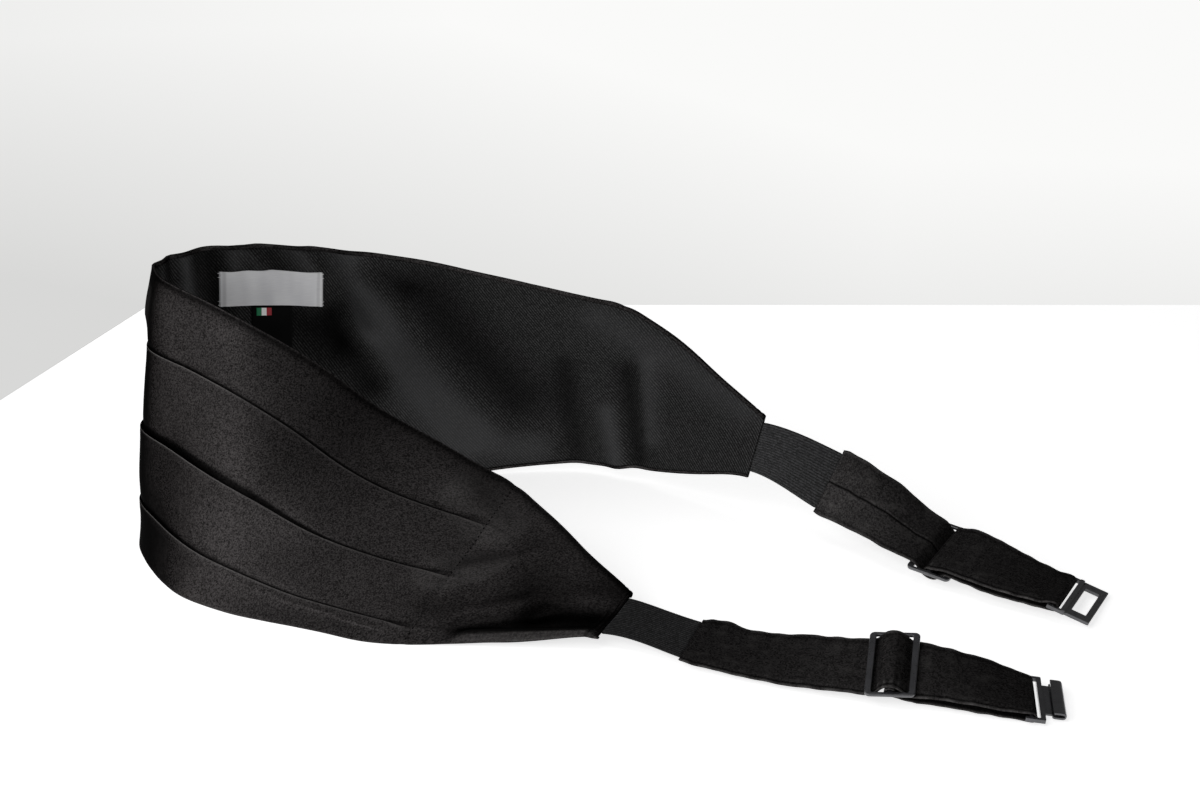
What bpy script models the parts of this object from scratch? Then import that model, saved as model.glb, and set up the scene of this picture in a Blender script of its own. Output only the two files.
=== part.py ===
"""Cummerbund: a pleated satin sash standing open on its lower edge, with lining, elastics, adjustable
straps, two sliders, a hook clasp and an eye clasp. Sizes are in millimetres and the model in metres.
Origin at the middle of the base. +X runs along the sash towards the clasps, +Y to its far arm."""

import math
from collections import namedtuple

import bmesh
import bpy
import numpy as np
from mathutils import Matrix, Vector

MM = 0.001

# The satin front as it lies flat, measured from the centre front
HALF_LENGTH = 294.0
STITCH_LINE = 218.0
CENTRE_HEIGHT = 130.0
STITCH_HEIGHT = 101.0
END_HEIGHT = 36.0

# Cloth walls
SEAM_GAP = 0.3
SATIN_WALL = 1.1
LINING_WALL = 1.0
ELASTIC_WALL = 1.5
STRAP_WALL = 1.2
LABEL_WALL = 1.0
HEM_TURN = 1.6
LINING_SHARES = np.array([1.0, 0.97, 0.92, 0.8, 0.66, 0.5, 0.34, 0.2, 0.08, 0.03, 0.0])

# Elastics and straps
ELASTIC_WIDTH = 28.2
ELASTIC_END = 332.0
STRAP_WIDTH = 32.4
STRAP_EDGE = (END_HEIGHT - STRAP_WIDTH) / 2
GATHER = 0.5

# Sliders and clasps
SLIDER_LENGTH = 21.4
SLIDER_WIDTH = 37.0
BAR_WIDTH = 2.9
END_BAR = 1.8
MIDDLE_BAR = 2.4
METAL = 1.6
LOOP_BAR_RADIUS = 0.95
LOOP_RADIUS = LOOP_BAR_RADIUS + SEAM_GAP + STRAP_WALL / 2
SLIDER_RISE = STRAP_WALL / 2 + SEAM_GAP + METAL / 2

# The middle of the base, in the plan that the sections are laid out in
BASE_MIDDLE = np.array([0.15, 3.45, 0.0])

# Where the sash stands. along is the length from the centre front, minus to the hook end; foot is the lower
# edge; up is the way the cloth rises from it, leaning as its top edge falls over.
Section = namedtuple("Section", "along foot_x foot_y lift up_x up_y up_z")
SECTIONS = (
    Section(-483, 172.5, -128.0, 4.4, 2.8, 32.0, 0.3),
    Section(-458, 148.5, -121.8, 4.7, 3.8, 31.4, 6.3),
    Section(-433, 124.8, -114.0, 4.5, 4.5, 30.5, 9.8),
    Section(-411, 103.3, -109.0, 3.4, 5.0, 30.0, 10.0),
    Section(-372, 65.0, -95.0, 1.8, 8.0, 31.0, 7.0),
    Section(-332, 27.0, -77.0, 3.2, 11.0, 29.0, 3.5),
    Section(-294, -7.0, -59.0, 5.6, 15.0, 31.0, 5.0),
    Section(-270, -34.0, -57.0, 3.0, 25.0, 47.0, 17.0),
    Section(-245, -61.0, -55.0, 1.0, 36.0, 62.0, 29.0),
    Section(-220, -89.0, -53.0, 0.0, 46.0, 77.0, 39.0),
    Section(-184, -122.0, -43.0, 0.0, 46.5, 81.0, 54.0),
    Section(-147, -155.0, -31.0, 0.0, 46.5, 77.0, 71.0),
    Section(-122, -175.2, -20.4, 0.0, 48.0, 65.0, 86.0),
    Section(-98, -194.0, -6.0, 0.0, 48.0, 45.0, 102.0),
    Section(-74, -207.6, 13.6, 0.0, 42.0, 25.0, 115.0),
    Section(-49, -216.4, 34.3, 0.0, 30.0, 13.0, 124.0),
    Section(-24, -220.2, 56.0, 0.0, 14.0, 7.0, 129.0),
    Section(0, -209.0, 76.6, 0.0, 4.0, 8.0, 130.0),
    Section(24, -190.0, 93.0, 0.0, 3.0, 8.0, 129.0),
    Section(61, -155.0, 107.0, 0.0, 5.0, 4.0, 126.0),
    Section(98, -119.0, 117.0, 0.0, 6.0, -4.0, 122.0),
    Section(147, -70.0, 129.0, 1.5, 5.6, -21.5, 112.5),
    Section(184, -32.0, 134.0, 4.5, 4.0, -32.0, 103.0),
    Section(220, 3.7, 125.0, 6.5, 4.0, -29.0, 93.0),
    Section(245, 25.0, 108.5, 11.0, 6.0, -18.0, 75.0),
    Section(270, 45.0, 92.0, 17.0, 6.0, -12.5, 54.0),
    Section(294, 64.0, 75.5, 22.5, 7.0, -7.5, 33.0),
    Section(332, 93.0, 53.0, 13.0, 13.0, 5.0, 27.0),
    Section(358, 112.0, 33.0, 11.0, 13.5, 19.0, 21.0),
    Section(384, 132.5, 10.5, 9.4, 17.0, 25.5, 8.5),
    Section(406, 150.8, -4.0, 6.6, 17.0, 26.0, 8.0),
    Section(432, 172.0, -20.5, 5.4, 14.5, 28.8, 4.3),
    Section(458, 195.0, -35.0, 5.5, 12.5, 30.5, -1.8),
)

# The pleats, as heights above the lower edge at the centre and at the stitch line. lip is how far a fold
# stands off the band above it and gap the dark slot behind it.
Pleat = namedtuple("Pleat", "name centre stitch lip gap slot")
PLEATS = (
    Pleat("low", 22.0, 9.5, 1.0, 0.3, 3.0),
    Pleat("middle", 56.0, 44.0, 1.1, 1.2, 6.0),
    Pleat("high", 94.0, 76.0, 1.1, 0.4, 5.0),
)

# Its largest soft folds, each a ridge (plus) or trough (minus) between two points of the flat cloth
Fold = namedtuple("Fold", "along_a height_a along_b height_b wide rise")
FOLDS = (
    Fold(218, 4, 219, 60, 7, 1.6),
    Fold(231, 2, 229, 50, 6, -1.8),
    Fold(150, 112, 214, 30, 16, -1.6),
    Fold(96, 118, 170, 20, 20, 1.5),
    Fold(-150, 60, -196, 12, 22, 1.6),
    Fold(-238, 62, -262, 20, 12, -1.6),
    Fold(-204, 86, -232, 66, 9, 1.2),
    Fold(3, 128, 8, 84, 7, -1.5),
    Fold(15, 130, 19, 110, 5, 1.0),
)

# One strap: where its slider's middle bar and its clasp's bar lie, as lengths along the sash, the degrees that
# the clasp hangs down from the strap, and how far in from the first layer the layer that comes back lies
Strap = namedtuple("Strap", "side slider clasp hang drop")
HOOK_STRAP = Strap(-1, 422.0, 481.6, 3.0, 3.3)
EYE_STRAP = Strap(1, 395.0, 455.5, 9.0, 2.7)

# The run of one strap beside its slider: distance from the middle bar, and how far it stands off
SLIDER_RUN = ((-16.0, 0.0), (-9.5, -0.3), (-6.8, 0.5), (-4.4, 3.1), (-2.4, 4.6), (0.0, 5.1), (2.4, 4.6),
              (4.4, 3.1), (6.8, 0.5), (9.5, -0.3), (16.0, 0.0))

LABEL = dict(along=(25.5, 72.5), below_top=(13.0, 30.0))
CARE_LABEL = dict(along=(40.5, 59.0), below_top=(30.4, 80.0))


def clear_scene():
    for obj in list(bpy.data.objects):
        bpy.data.objects.remove(obj)


def pattern_height(along):
    """The sash's height at a length from the centre front: a slow curve to the stitch line, then a taper."""
    q = np.abs(along)
    curved = CENTRE_HEIGHT - (CENTRE_HEIGHT - STITCH_HEIGHT) * np.minimum(q / STITCH_LINE, 1.0) ** 1.6
    taper = (STITCH_HEIGHT - END_HEIGHT) / (HALF_LENGTH - STITCH_LINE)
    past = np.clip(q - STITCH_LINE + 8.0, 0.0, None)
    rounded = np.where(past < 16.0, past ** 2 / 32.0, past - 8.0)
    return np.maximum(curved - taper * rounded, END_HEIGHT)


def natural_curve(knots, values, at):
    """A natural cubic curve through the values at the knots."""
    step = np.diff(knots)
    slope = np.diff(values, axis=0) / step[:, None]
    size = len(knots)
    matrix = np.eye(size)
    right = np.zeros_like(values)
    for i in range(1, size - 1):
        matrix[i, i - 1: i + 2] = step[i - 1], 2 * (step[i - 1] + step[i]), step[i]
        right[i] = 6 * (slope[i] - slope[i - 1])
    bend = np.linalg.solve(matrix, right)
    i = np.clip(np.searchsorted(knots, at) - 1, 0, size - 2)
    h = step[i][..., None]
    a = (at - knots[i])[..., None]
    b = (knots[i + 1] - at)[..., None]
    return ((bend[i] * b ** 3 + bend[i + 1] * a ** 3) / (6 * h)
            + (values[i] / h - bend[i] * h / 6) * b + (values[i + 1] / h - bend[i + 1] * h / 6) * a)


def fold_rise(along, height):
    total = np.zeros(np.broadcast(along, height).shape)
    for fold in FOLDS:
        start = np.array([fold.along_a, fold.height_a], float)
        way = np.array([fold.along_b, fold.height_b], float) - start
        x = along - start[0]
        y = height - start[1]
        t = np.clip((x * way[0] + y * way[1]) / (way @ way), 0, 1)
        gap = (x - t * way[0]) ** 2 + (y - t * way[1]) ** 2
        total = total + fold.rise * np.exp(-gap / fold.wide ** 2)
    return total


def lower_edge(along):
    """The lower edge of the cloth, never under the table, and the way up from it."""
    table = np.array(SECTIONS, float)
    row = natural_curve(table[:, 0], table[:, 1:], along)
    foot = row[..., :3] - BASE_MIDDLE
    foot[..., 2] = np.maximum(foot[..., 2], 0.0)
    return foot, row[..., 3:] / np.linalg.norm(row[..., 3:], axis=-1, keepdims=True)


def middle(along, height):
    """The middle of the cloth, without its thickness."""
    foot, up = lower_edge(along)
    return foot + up * height[..., None]


def facing(surface, along, height, step=0.5):
    """The outward direction of a surface of (along, height)."""
    d_along = surface(along + step, height) - surface(along - step, height)
    d_height = surface(along, height + step) - surface(along, height - step)
    out = np.cross(d_height, d_along)
    return out / np.linalg.norm(out, axis=-1, keepdims=True)


def creased(along, height):
    plain = middle(along, height)
    out = facing(middle, along, height)
    return plain + out * fold_rise(along, height)[..., None]


def cloth(along, height, out):
    """A point of the sash in mm: length from the centre front, height above the lower edge, distance outward."""
    along, height, out = np.broadcast_arrays(*(np.asarray(v, float) for v in (along, height, out)))
    normal = facing(creased, along, height)
    points = creased(along, height) + normal * out[..., None]
    # The foot is cut level where it stands on the table
    foot, up = lower_edge(along)
    lift = foot[..., 2]
    level = np.clip(1 - lift / 2, 0, 1) * np.clip(1 - height / 8, 0, 1)
    slide = (lift + height * up[..., 2] - points[..., 2]) / np.maximum(up[..., 2], 0.35) * level
    return points + up * slide[..., None]


def mesh_object(name, points, faces, material):
    mesh = bpy.data.meshes.new(name)
    mesh.from_pydata([Vector(p) * MM for p in points], [], faces)
    mesh.update()
    obj = bpy.data.objects.new(name, mesh)
    PARTS.objects.link(obj)
    obj.data.materials.append(material)
    return obj


def halves(a, b, c, d):
    """A four-sided face cut along one set diagonal, so that layers of cloth nest."""
    return [(a, b, c), (a, c, d)]


def sheet(name, grid, wall, material):
    """A cloth wall through a grid of points: the grid is its middle."""
    rows, columns = grid.shape[:2]
    faces = []
    for i in range(rows - 1):
        for j in range(columns - 1):
            k = i * columns + j
            faces += halves(k, k + 1, k + columns + 1, k + columns)
    obj = mesh_object(name, grid.reshape(-1, 3), faces, material)
    thicken = obj.modifiers.new("wall", "SOLIDIFY")
    thicken.thickness = wall * MM
    thicken.offset = 0.0
    thicken.use_even_offset = True
    return obj


def loft(name, rings, material):
    """A solid through closed rings of unlike shape but one count, with flat ends."""
    count, size = len(rings), len(rings[0])
    faces = []
    for i in range(count - 1):
        for j in range(size):
            k = (j + 1) % size
            faces += halves(i * size + j, i * size + k, (i + 1) * size + k, (i + 1) * size + j)
    faces.append(tuple(range(size))[::-1])
    faces.append(tuple(range((count - 1) * size, count * size)))
    obj = mesh_object(name, np.concatenate(rings), faces, material)
    form = bmesh.new()
    form.from_mesh(obj.data)
    bmesh.ops.triangulate(form, faces=[f for f in form.faces if len(f.verts) > 4])
    bmesh.ops.recalc_face_normals(form, faces=form.faces)
    form.to_mesh(obj.data)
    form.free()
    return obj


def lining_heights(along):
    """The heights of the lining's points, from its top edge to the hem that the satin turns under it."""
    return HEM_TURN + LINING_SHARES * (pattern_height(along)[..., None] - HEM_TURN - 1.0)


def front_profile(along):
    """The satin front's section at one place: (height, out) points round it, pleats on the outer side."""
    high = float(pattern_height(np.array(along)))
    far = min(abs(along) / STITCH_LINE, 1.0)
    folded = float(np.clip(1 - (abs(along) - STITCH_LINE + 2) / 16, 0, 1))
    folded = folded * folded * (3 - 2 * folded)
    inner = SEAM_GAP / 2
    base = inner + SATIN_WALL
    outer = [(0.0, inner + 0.85), (0.6, base)]
    below = 0.6
    for pleat in PLEATS:
        at = pleat.centre + (pleat.stitch - pleat.centre) * far ** 1.6
        at = at * high / (CENTRE_HEIGHT - (CENTRE_HEIGHT - STITCH_HEIGHT) * far ** 1.6)
        lip = pleat.lip + pleat.gap
        slot = pleat.slot
        folded_points = ((-2.2, lip * 0.96), (-0.6, lip), (0.0, lip * 0.82), (-0.15, pleat.gap * 1.15),
                         (-slot, pleat.gap * 0.7), (-slot - 0.2, 0.0), (0.3, 0.0))
        flat_points = tuple((-1.8 + 0.6 * i, 0.15 - 0.15 * (i / 3 - 1) ** 2) for i in range(7))
        outer.append((at - (at - below) * 0.45, base + 0.45 * lip * folded))
        for (h1, o1), (h0, o0) in zip(folded_points, flat_points):
            outer.append((at + h0 + (h1 - h0) * folded, base + o0 + (o1 - o0) * folded))
        below = at
    outer.append(((below + high) / 2, base))
    outer += [(high - 1.0, base + 0.1), (high, inner + 0.8)]
    backs = [(high, inner)] + [(h, inner) for h in lining_heights(np.array(along))] + [(0.0, inner)]
    return outer + backs


def steps(start, end, size):
    return np.linspace(start, end, max(2, round(abs(end - start) / size) + 1))


def front_stations():
    ends = np.concatenate([steps(204, 236, 4), steps(243, HALF_LENGTH, 9)])
    near = np.concatenate([steps(9, 200, 9), ends])
    far = np.concatenate([steps(4.5, 90, 4.5), steps(99, 200, 9), ends])
    return np.concatenate([-near[::-1], [0.0], far])


def satin_front():
    rings = []
    for along in front_stations():
        profile = np.array(front_profile(along))
        rings.append(cloth(along, profile[:, 0], profile[:, 1]))
    return loft("satin_front", rings, SATIN)


def lining():
    along = front_stations()
    out = -SEAM_GAP / 2 - LINING_WALL / 2
    return sheet("lining", cloth(along[:, None], lining_heights(along), out), LINING_WALL, TWILL)


def elastic(name, side):
    along = side * steps(HALF_LENGTH + SEAM_GAP, ELASTIC_END - SEAM_GAP, 4)[:, None]
    edge = (END_HEIGHT - ELASTIC_WIDTH) / 2
    height = np.linspace(edge, END_HEIGHT - edge, 7)[None, :]
    grid = cloth(along, height, 0.0)
    return sheet(name, grid if side > 0 else grid[::-1], ELASTIC_WALL, ELASTIC)


def strap_path(strap):
    """The strap's way as (length along the sash, distance outward): through the slider, round the clasp's bar,
    back behind itself and round the slider's middle bar."""
    path = [(a, 0.0) for a in steps(ELASTIC_END, strap.slider - 18, 6)]
    run = np.array(SLIDER_RUN)
    path += [(strap.slider + a, natural_curve(run[:, 0], run[:, 1:], a)[0]) for a in steps(-16, 16, 1.6)]
    path += [(a, 0.0) for a in steps(strap.slider + 21, strap.clasp - 1.5, 6)]
    for i in range(9):
        turn = math.pi * i / 8
        path.append((strap.clasp + LOOP_RADIUS * math.sin(turn), LOOP_RADIUS * (math.cos(turn) - 1)))
    back = [(a, -strap.drop) for a in steps(strap.clasp - 8, strap.slider + 12, 6)]
    path += [(strap.clasp - 2.5, -2 * LOOP_RADIUS)] + back + [(strap.slider + 7.0, -2.5), (strap.slider + 3.6, -1.3)]
    wrap = MIDDLE_BAR / 2 + SEAM_GAP + STRAP_WALL / 2
    for i in range(8):
        turn = math.radians(-75 - 255 * i / 7)
        path.append((strap.slider + wrap * math.cos(turn), SLIDER_RISE + wrap * math.sin(turn)))
    return np.array(path)


def strap_piece(name, strap):
    path = strap_path(strap)
    beside = np.abs(path[:, :1] - strap.slider)
    gather = 1 - GATHER * 2 / STRAP_WIDTH * np.clip(2 - beside / 9, 0, 1)
    height = END_HEIGHT / 2 + gather * np.linspace(-STRAP_WIDTH / 2, STRAP_WIDTH / 2, 7)[None, :]
    grid = cloth(strap.side * path[:, :1], height, path[:, 1:])
    return sheet(name, grid if strap.side > 0 else grid[::-1], STRAP_WALL, STRAP_SATIN)


def fitting_frame(strap, along, out):
    """Where a metal fitting sits on a strap: x along it to its end, y across, z outward."""
    points = cloth(strap.side * np.array([along, along - 4, along + 4]), END_HEIGHT / 2, out)
    edges = cloth(strap.side * along, np.array([STRAP_EDGE, END_HEIGHT - STRAP_EDGE]), out)
    across = Vector(edges[1] - edges[0]).normalized() * -strap.side
    run = Vector(points[2] - points[1])
    run = (run - across * run.dot(across)).normalized()
    outward = run.cross(across)
    frame = Matrix((run, across, outward)).transposed().to_4x4()
    frame.translation = Vector(points[0]) * MM
    return frame


def box(x, y, z):
    """A box between the given pairs of mm, as points and faces."""
    points = [(a, b, c) for a in x for b in y for c in z]
    return points, [(0, 1, 3, 2), (4, 6, 7, 5), (0, 4, 5, 1), (2, 3, 7, 6), (0, 2, 6, 4), (1, 5, 7, 3)]


def metal_box(name, x, y, z, corner=0.0):
    """A metal block whose upright corners are rounded."""
    obj = mesh_object(name, *box(x, y, z), BLACK_METAL)
    if corner:
        form = bmesh.new()
        form.from_mesh(obj.data)
        upright = [e for e in form.edges if abs(e.verts[0].co.z - e.verts[1].co.z) > 1e-6]
        bmesh.ops.bevel(form, geom=upright, offset=corner * MM, segments=3, profile=0.5, affect="EDGES")
        form.to_mesh(obj.data)
        form.free()
    return obj


def cutter(obj):
    for held in list(obj.users_collection):
        held.objects.unlink(obj)
    CUTTERS.objects.link(obj)
    obj.display_type = "WIRE"
    obj.hide_render = True
    return obj


def combine(obj, other, operation):
    step = obj.modifiers.new(operation.lower(), "BOOLEAN")
    step.operation = operation
    step.solver = "EXACT"
    step.object = cutter(other)


def soften(obj, width):
    step = obj.modifiers.new("worn edges", "BEVEL")
    step.width = width * MM
    step.segments = 1
    step.limit_method = "ANGLE"
    step.angle_limit = math.radians(50)


def stand(objects, frame):
    for obj in objects:
        obj.matrix_world = frame


def slider(name, strap):
    """A flat frame with a middle bar, its two windows cut through."""
    frame = fitting_frame(strap, strap.slider, SLIDER_RISE)
    half, wide = SLIDER_LENGTH / 2, SLIDER_WIDTH / 2
    body = metal_box(name, (-half, half), (-wide, wide), (-METAL / 2, METAL / 2), 2.2)
    windows = []
    for way in (-1, 1):
        x = sorted((way * MIDDLE_BAR / 2, way * (half - BAR_WIDTH)))
        y = (END_BAR - wide, wide - END_BAR)
        windows.append(metal_box(f"{name}_window_{way}", x, y, (-3, 3), 0.6))
    for window in windows:
        combine(body, window, "DIFFERENCE")
    soften(body, 0.3)
    stand([body, *windows], frame)
    return body


def loop_bar(name, length):
    """The round bar that the strap's end goes round."""
    bpy.ops.mesh.primitive_cylinder_add(vertices=16, radius=LOOP_BAR_RADIUS * MM, depth=length * MM)
    obj = bpy.context.object
    obj.name = name
    obj.data.transform(Matrix.Rotation(math.pi / 2, 4, "X"))
    obj.data.materials.append(BLACK_METAL)
    return obj


def clasp_frame(name, strap):
    """The strap's side of a clasp: round loop bar, two end bars and a front bar, origin on the loop bar."""
    wide = SLIDER_WIDTH / 2
    body = metal_box(name, (-0.9, 5.6), (-wide, wide), (-METAL / 2, METAL / 2), 0.8)
    slot = metal_box(name + "_slot", (-3, 3.5), (END_BAR - wide, wide - END_BAR), (-3, 3))
    bar = loop_bar(name + "_bar", SLIDER_WIDTH - END_BAR)
    combine(body, slot, "DIFFERENCE")
    combine(body, bar, "UNION")
    frame = fitting_frame(strap, strap.clasp, -LOOP_RADIUS)
    return body, [slot, bar], frame @ Matrix.Rotation(-math.radians(strap.hang), 4, "Y")


def hook_clasp():
    """The hook: a neck from the front bar to a tongue folded back over itself."""
    body, helpers, frame = clasp_frame("hook_clasp", HOOK_STRAP)
    neck = metal_box("hook_clasp_neck", (5.0, 9.4), (-12.0, 12.0), (-0.4, 0.4))
    fold = [(8.5, 0.0), (12.9, 0.0), (13.6, 0.25), (14.0, 0.75), (14.0, 1.35), (13.6, 1.85), (12.9, 2.1), (8.9, 2.1)]
    grid = np.array([[(x, y, z) for y in (-14.2, 14.2)] for x, z in fold])
    tongue = sheet("hook_clasp_tongue", grid, 0.8, BLACK_METAL)
    for piece in (neck, tongue):
        combine(body, piece, "UNION")
    stand([body, neck, tongue, *helpers], frame)
    return body


def eye_clasp():
    """The eye: a flat loop whose window takes the hook's tongue."""
    body, helpers, frame = clasp_frame("eye_clasp", EYE_STRAP)
    plate = metal_box("eye_clasp_plate", (5.0, 17.2), (-18.0, 18.0), (-0.7, 0.7), 1.0)
    window = metal_box("eye_clasp_window", (7.8, 14.6), (-12.5, 12.5), (-3, 3), 0.6)
    combine(body, plate, "UNION")
    combine(body, window, "DIFFERENCE")
    stand([body, plate, window, *helpers], frame)
    return body


def label(name, place, material):
    """A label on the lining: a wall of the lining's own points moved inward."""
    start, end = place["along"]
    stations = front_stations()
    between = stations[(stations > start + 1) & (stations < end - 1)]
    along = np.concatenate([[start], between, [end]])[:, None]
    top = pattern_height(along)
    below = np.array(place["below_top"])
    height = top - np.linspace(below[1], below[0], 6)[None, :]
    out = -1.5 * SEAM_GAP - LINING_WALL - LABEL_WALL / 2
    return sheet(name, cloth(along, height, out), LABEL_WALL, material)


def material(name, colour, roughness, metallic=0.0):
    made = bpy.data.materials.new(name)
    made.use_nodes = True
    shader = made.node_tree.nodes["Principled BSDF"]
    shader.inputs["Base Color"].default_value = (*colour, 1.0)
    shader.inputs["Roughness"].default_value = roughness
    shader.inputs["Metallic"].default_value = metallic
    return made


def collection(name):
    made = bpy.data.collections.new(name)
    bpy.context.scene.collection.children.link(made)
    return made


clear_scene()
PARTS = collection("cummerbund")
CUTTERS = collection("cutters")
SATIN = material("black satin", (0.012, 0.011, 0.011), 0.42)
TWILL = material("black lining twill", (0.014, 0.014, 0.015), 0.7)
ELASTIC = material("black ribbed elastic", (0.02, 0.02, 0.02), 0.85)
STRAP_SATIN = material("black strap satin", (0.012, 0.012, 0.012), 0.5)
BLACK_METAL = material("black painted steel", (0.03, 0.03, 0.03), 0.4, 0.6)
LABEL_SATIN = material("silver label satin", (0.4, 0.4, 0.4), 0.5)
CARE_RIBBON = material("black care ribbon", (0.02, 0.02, 0.02), 0.6)

satin_front()
lining()
elastic("elastic_hook_side", -1)
elastic("elastic_eye_side", 1)
strap_piece("strap_hook_side", HOOK_STRAP)
strap_piece("strap_eye_side", EYE_STRAP)
slider("slider_hook_side", HOOK_STRAP)
slider("slider_eye_side", EYE_STRAP)
hook_clasp()
eye_clasp()
label("name_label", LABEL, LABEL_SATIN)
label("care_label", CARE_LABEL, CARE_RIBBON)
CUTTERS.hide_render = True
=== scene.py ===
"""The looks of a black cummerbund: pleated satin front, twill lining, ribbed elastics, satin straps, black
metal sliders and clasps, labels and sewing. Shapes are worked out in millimetres and kept in metres."""

import math
from collections import namedtuple

import bmesh
import bpy
import numpy as np
from mathutils import Matrix, Vector


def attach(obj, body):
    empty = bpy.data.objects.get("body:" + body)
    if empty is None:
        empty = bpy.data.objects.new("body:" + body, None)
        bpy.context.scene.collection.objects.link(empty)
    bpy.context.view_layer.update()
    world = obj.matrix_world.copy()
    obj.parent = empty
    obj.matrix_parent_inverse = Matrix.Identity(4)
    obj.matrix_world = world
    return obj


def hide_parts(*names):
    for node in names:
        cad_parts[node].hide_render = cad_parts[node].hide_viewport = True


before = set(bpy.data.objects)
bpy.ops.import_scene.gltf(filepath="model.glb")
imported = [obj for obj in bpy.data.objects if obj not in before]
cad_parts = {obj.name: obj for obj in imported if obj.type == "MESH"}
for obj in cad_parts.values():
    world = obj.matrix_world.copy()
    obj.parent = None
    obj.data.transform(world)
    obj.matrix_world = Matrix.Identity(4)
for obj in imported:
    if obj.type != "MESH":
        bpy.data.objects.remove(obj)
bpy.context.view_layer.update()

MM = 0.001

# The satin front as it lies flat, measured from the centre front
HALF_LENGTH = 294.0
STITCH_LINE = 218.0
CENTRE_HEIGHT = 130.0
STITCH_HEIGHT = 101.0
END_HEIGHT = 36.0

# Cloth, as it is seen: its walls, hems and gaps. The lining takes the front's cut less its hems, and
# STRAP_LIE sets the two straps' flat places apart.
SATIN_WALL = 0.5
LINING_WALL = 0.5
LINING_INSET = 1.0
SEAM_GAP = 0.3
HEM_WIDTH = 1.8
BAND_RISE = 0.8
ELASTIC_WALL = 1.3
ELASTIC_WIDTH = 28.2
ELASTIC_END = 332.0
ELASTIC_RIBS = 21
STRAP_WALL = 0.9
STRAP_WIDTH = 32.4
STRAP_LIE = 400.0
LABEL_WALL = 0.5
LABEL_GAP = 0.12
INK_WALL = 0.05

# The rim of a thin wall stands out by this share of it, and a fold of this rise is given painted light in
# full: painted highlight on a ridge, painted shade in a trough
RIM_SHARE = 0.35
FULL_SHADE_RISE = 2.6

# How many stretches the satin's hidden inner side is drawn in, and how much cloth below and above a pleat's
# fold is drawn with it
BACK_STEPS = 46
BELOW_FOLD = 3.6
ABOVE_FOLD = 4.4

# Metal fittings
SLIDER_LENGTH = 21.4
SLIDER_WIDTH = 37.0
BAR_WIDTH = 2.9
END_BAR = 1.8
MIDDLE_BAR = 2.4
METAL = 1.6
LOOP_BAR_RADIUS = 0.95
STRAP_CAD_WALL = 1.2
LOOP_RADIUS = LOOP_BAR_RADIUS + SEAM_GAP + STRAP_CAD_WALL / 2
SLIDER_RISE = STRAP_CAD_WALL / 2 + SEAM_GAP + METAL / 2

# The middle of the base, in the plan that the sections are laid out in
BASE_MIDDLE = np.array([0.15, 3.45, 0.0])

# Where the sash stands. along is the length from the centre front, minus to the hook end; foot is the lower
# edge; up is the way the cloth rises from it, leaning as its top edge falls over.
Section = namedtuple("Section", "along foot_x foot_y lift up_x up_y up_z")
SECTIONS = (
    Section(-483, 172.5, -128.0, 4.4, 2.8, 32.0, 0.3),
    Section(-458, 148.5, -121.8, 4.7, 3.8, 31.4, 6.3),
    Section(-433, 124.8, -114.0, 4.5, 4.5, 30.5, 9.8),
    Section(-411, 103.3, -109.0, 3.4, 5.0, 30.0, 10.0),
    Section(-372, 65.0, -95.0, 1.8, 8.0, 31.0, 7.0),
    Section(-332, 27.0, -77.0, 3.2, 11.0, 29.0, 3.5),
    Section(-294, -7.0, -59.0, 5.6, 15.0, 31.0, 5.0),
    Section(-270, -34.0, -57.0, 3.0, 25.0, 47.0, 17.0),
    Section(-245, -61.0, -55.0, 1.0, 36.0, 62.0, 29.0),
    Section(-220, -89.0, -53.0, 0.0, 46.0, 77.0, 39.0),
    Section(-184, -122.0, -43.0, 0.0, 46.5, 81.0, 54.0),
    Section(-147, -155.0, -31.0, 0.0, 46.5, 77.0, 71.0),
    Section(-122, -175.2, -20.4, 0.0, 48.0, 65.0, 86.0),
    Section(-98, -194.0, -6.0, 0.0, 48.0, 45.0, 102.0),
    Section(-74, -207.6, 13.6, 0.0, 42.0, 25.0, 115.0),
    Section(-49, -216.4, 34.3, 0.0, 30.0, 13.0, 124.0),
    Section(-24, -220.2, 56.0, 0.0, 14.0, 7.0, 129.0),
    Section(0, -209.0, 76.6, 0.0, 4.0, 8.0, 130.0),
    Section(24, -190.0, 93.0, 0.0, 3.0, 8.0, 129.0),
    Section(61, -155.0, 107.0, 0.0, 5.0, 4.0, 126.0),
    Section(98, -119.0, 117.0, 0.0, 6.0, -4.0, 122.0),
    Section(147, -70.0, 129.0, 1.5, 5.6, -21.5, 112.5),
    Section(184, -32.0, 134.0, 4.5, 4.0, -32.0, 103.0),
    Section(220, 3.7, 125.0, 6.5, 4.0, -29.0, 93.0),
    Section(245, 25.0, 108.5, 11.0, 6.0, -18.0, 75.0),
    Section(270, 45.0, 92.0, 17.0, 6.0, -12.5, 54.0),
    Section(294, 64.0, 75.5, 22.5, 7.0, -7.5, 33.0),
    Section(332, 93.0, 53.0, 13.0, 13.0, 5.0, 27.0),
    Section(358, 112.0, 33.0, 11.0, 13.5, 19.0, 21.0),
    Section(384, 132.5, 10.5, 9.4, 17.0, 25.5, 8.5),
    Section(406, 150.8, -4.0, 6.6, 17.0, 26.0, 8.0),
    Section(432, 172.0, -20.5, 5.4, 14.5, 28.8, 4.3),
    Section(458, 195.0, -35.0, 5.5, 12.5, 30.5, -1.8),
)
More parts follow.
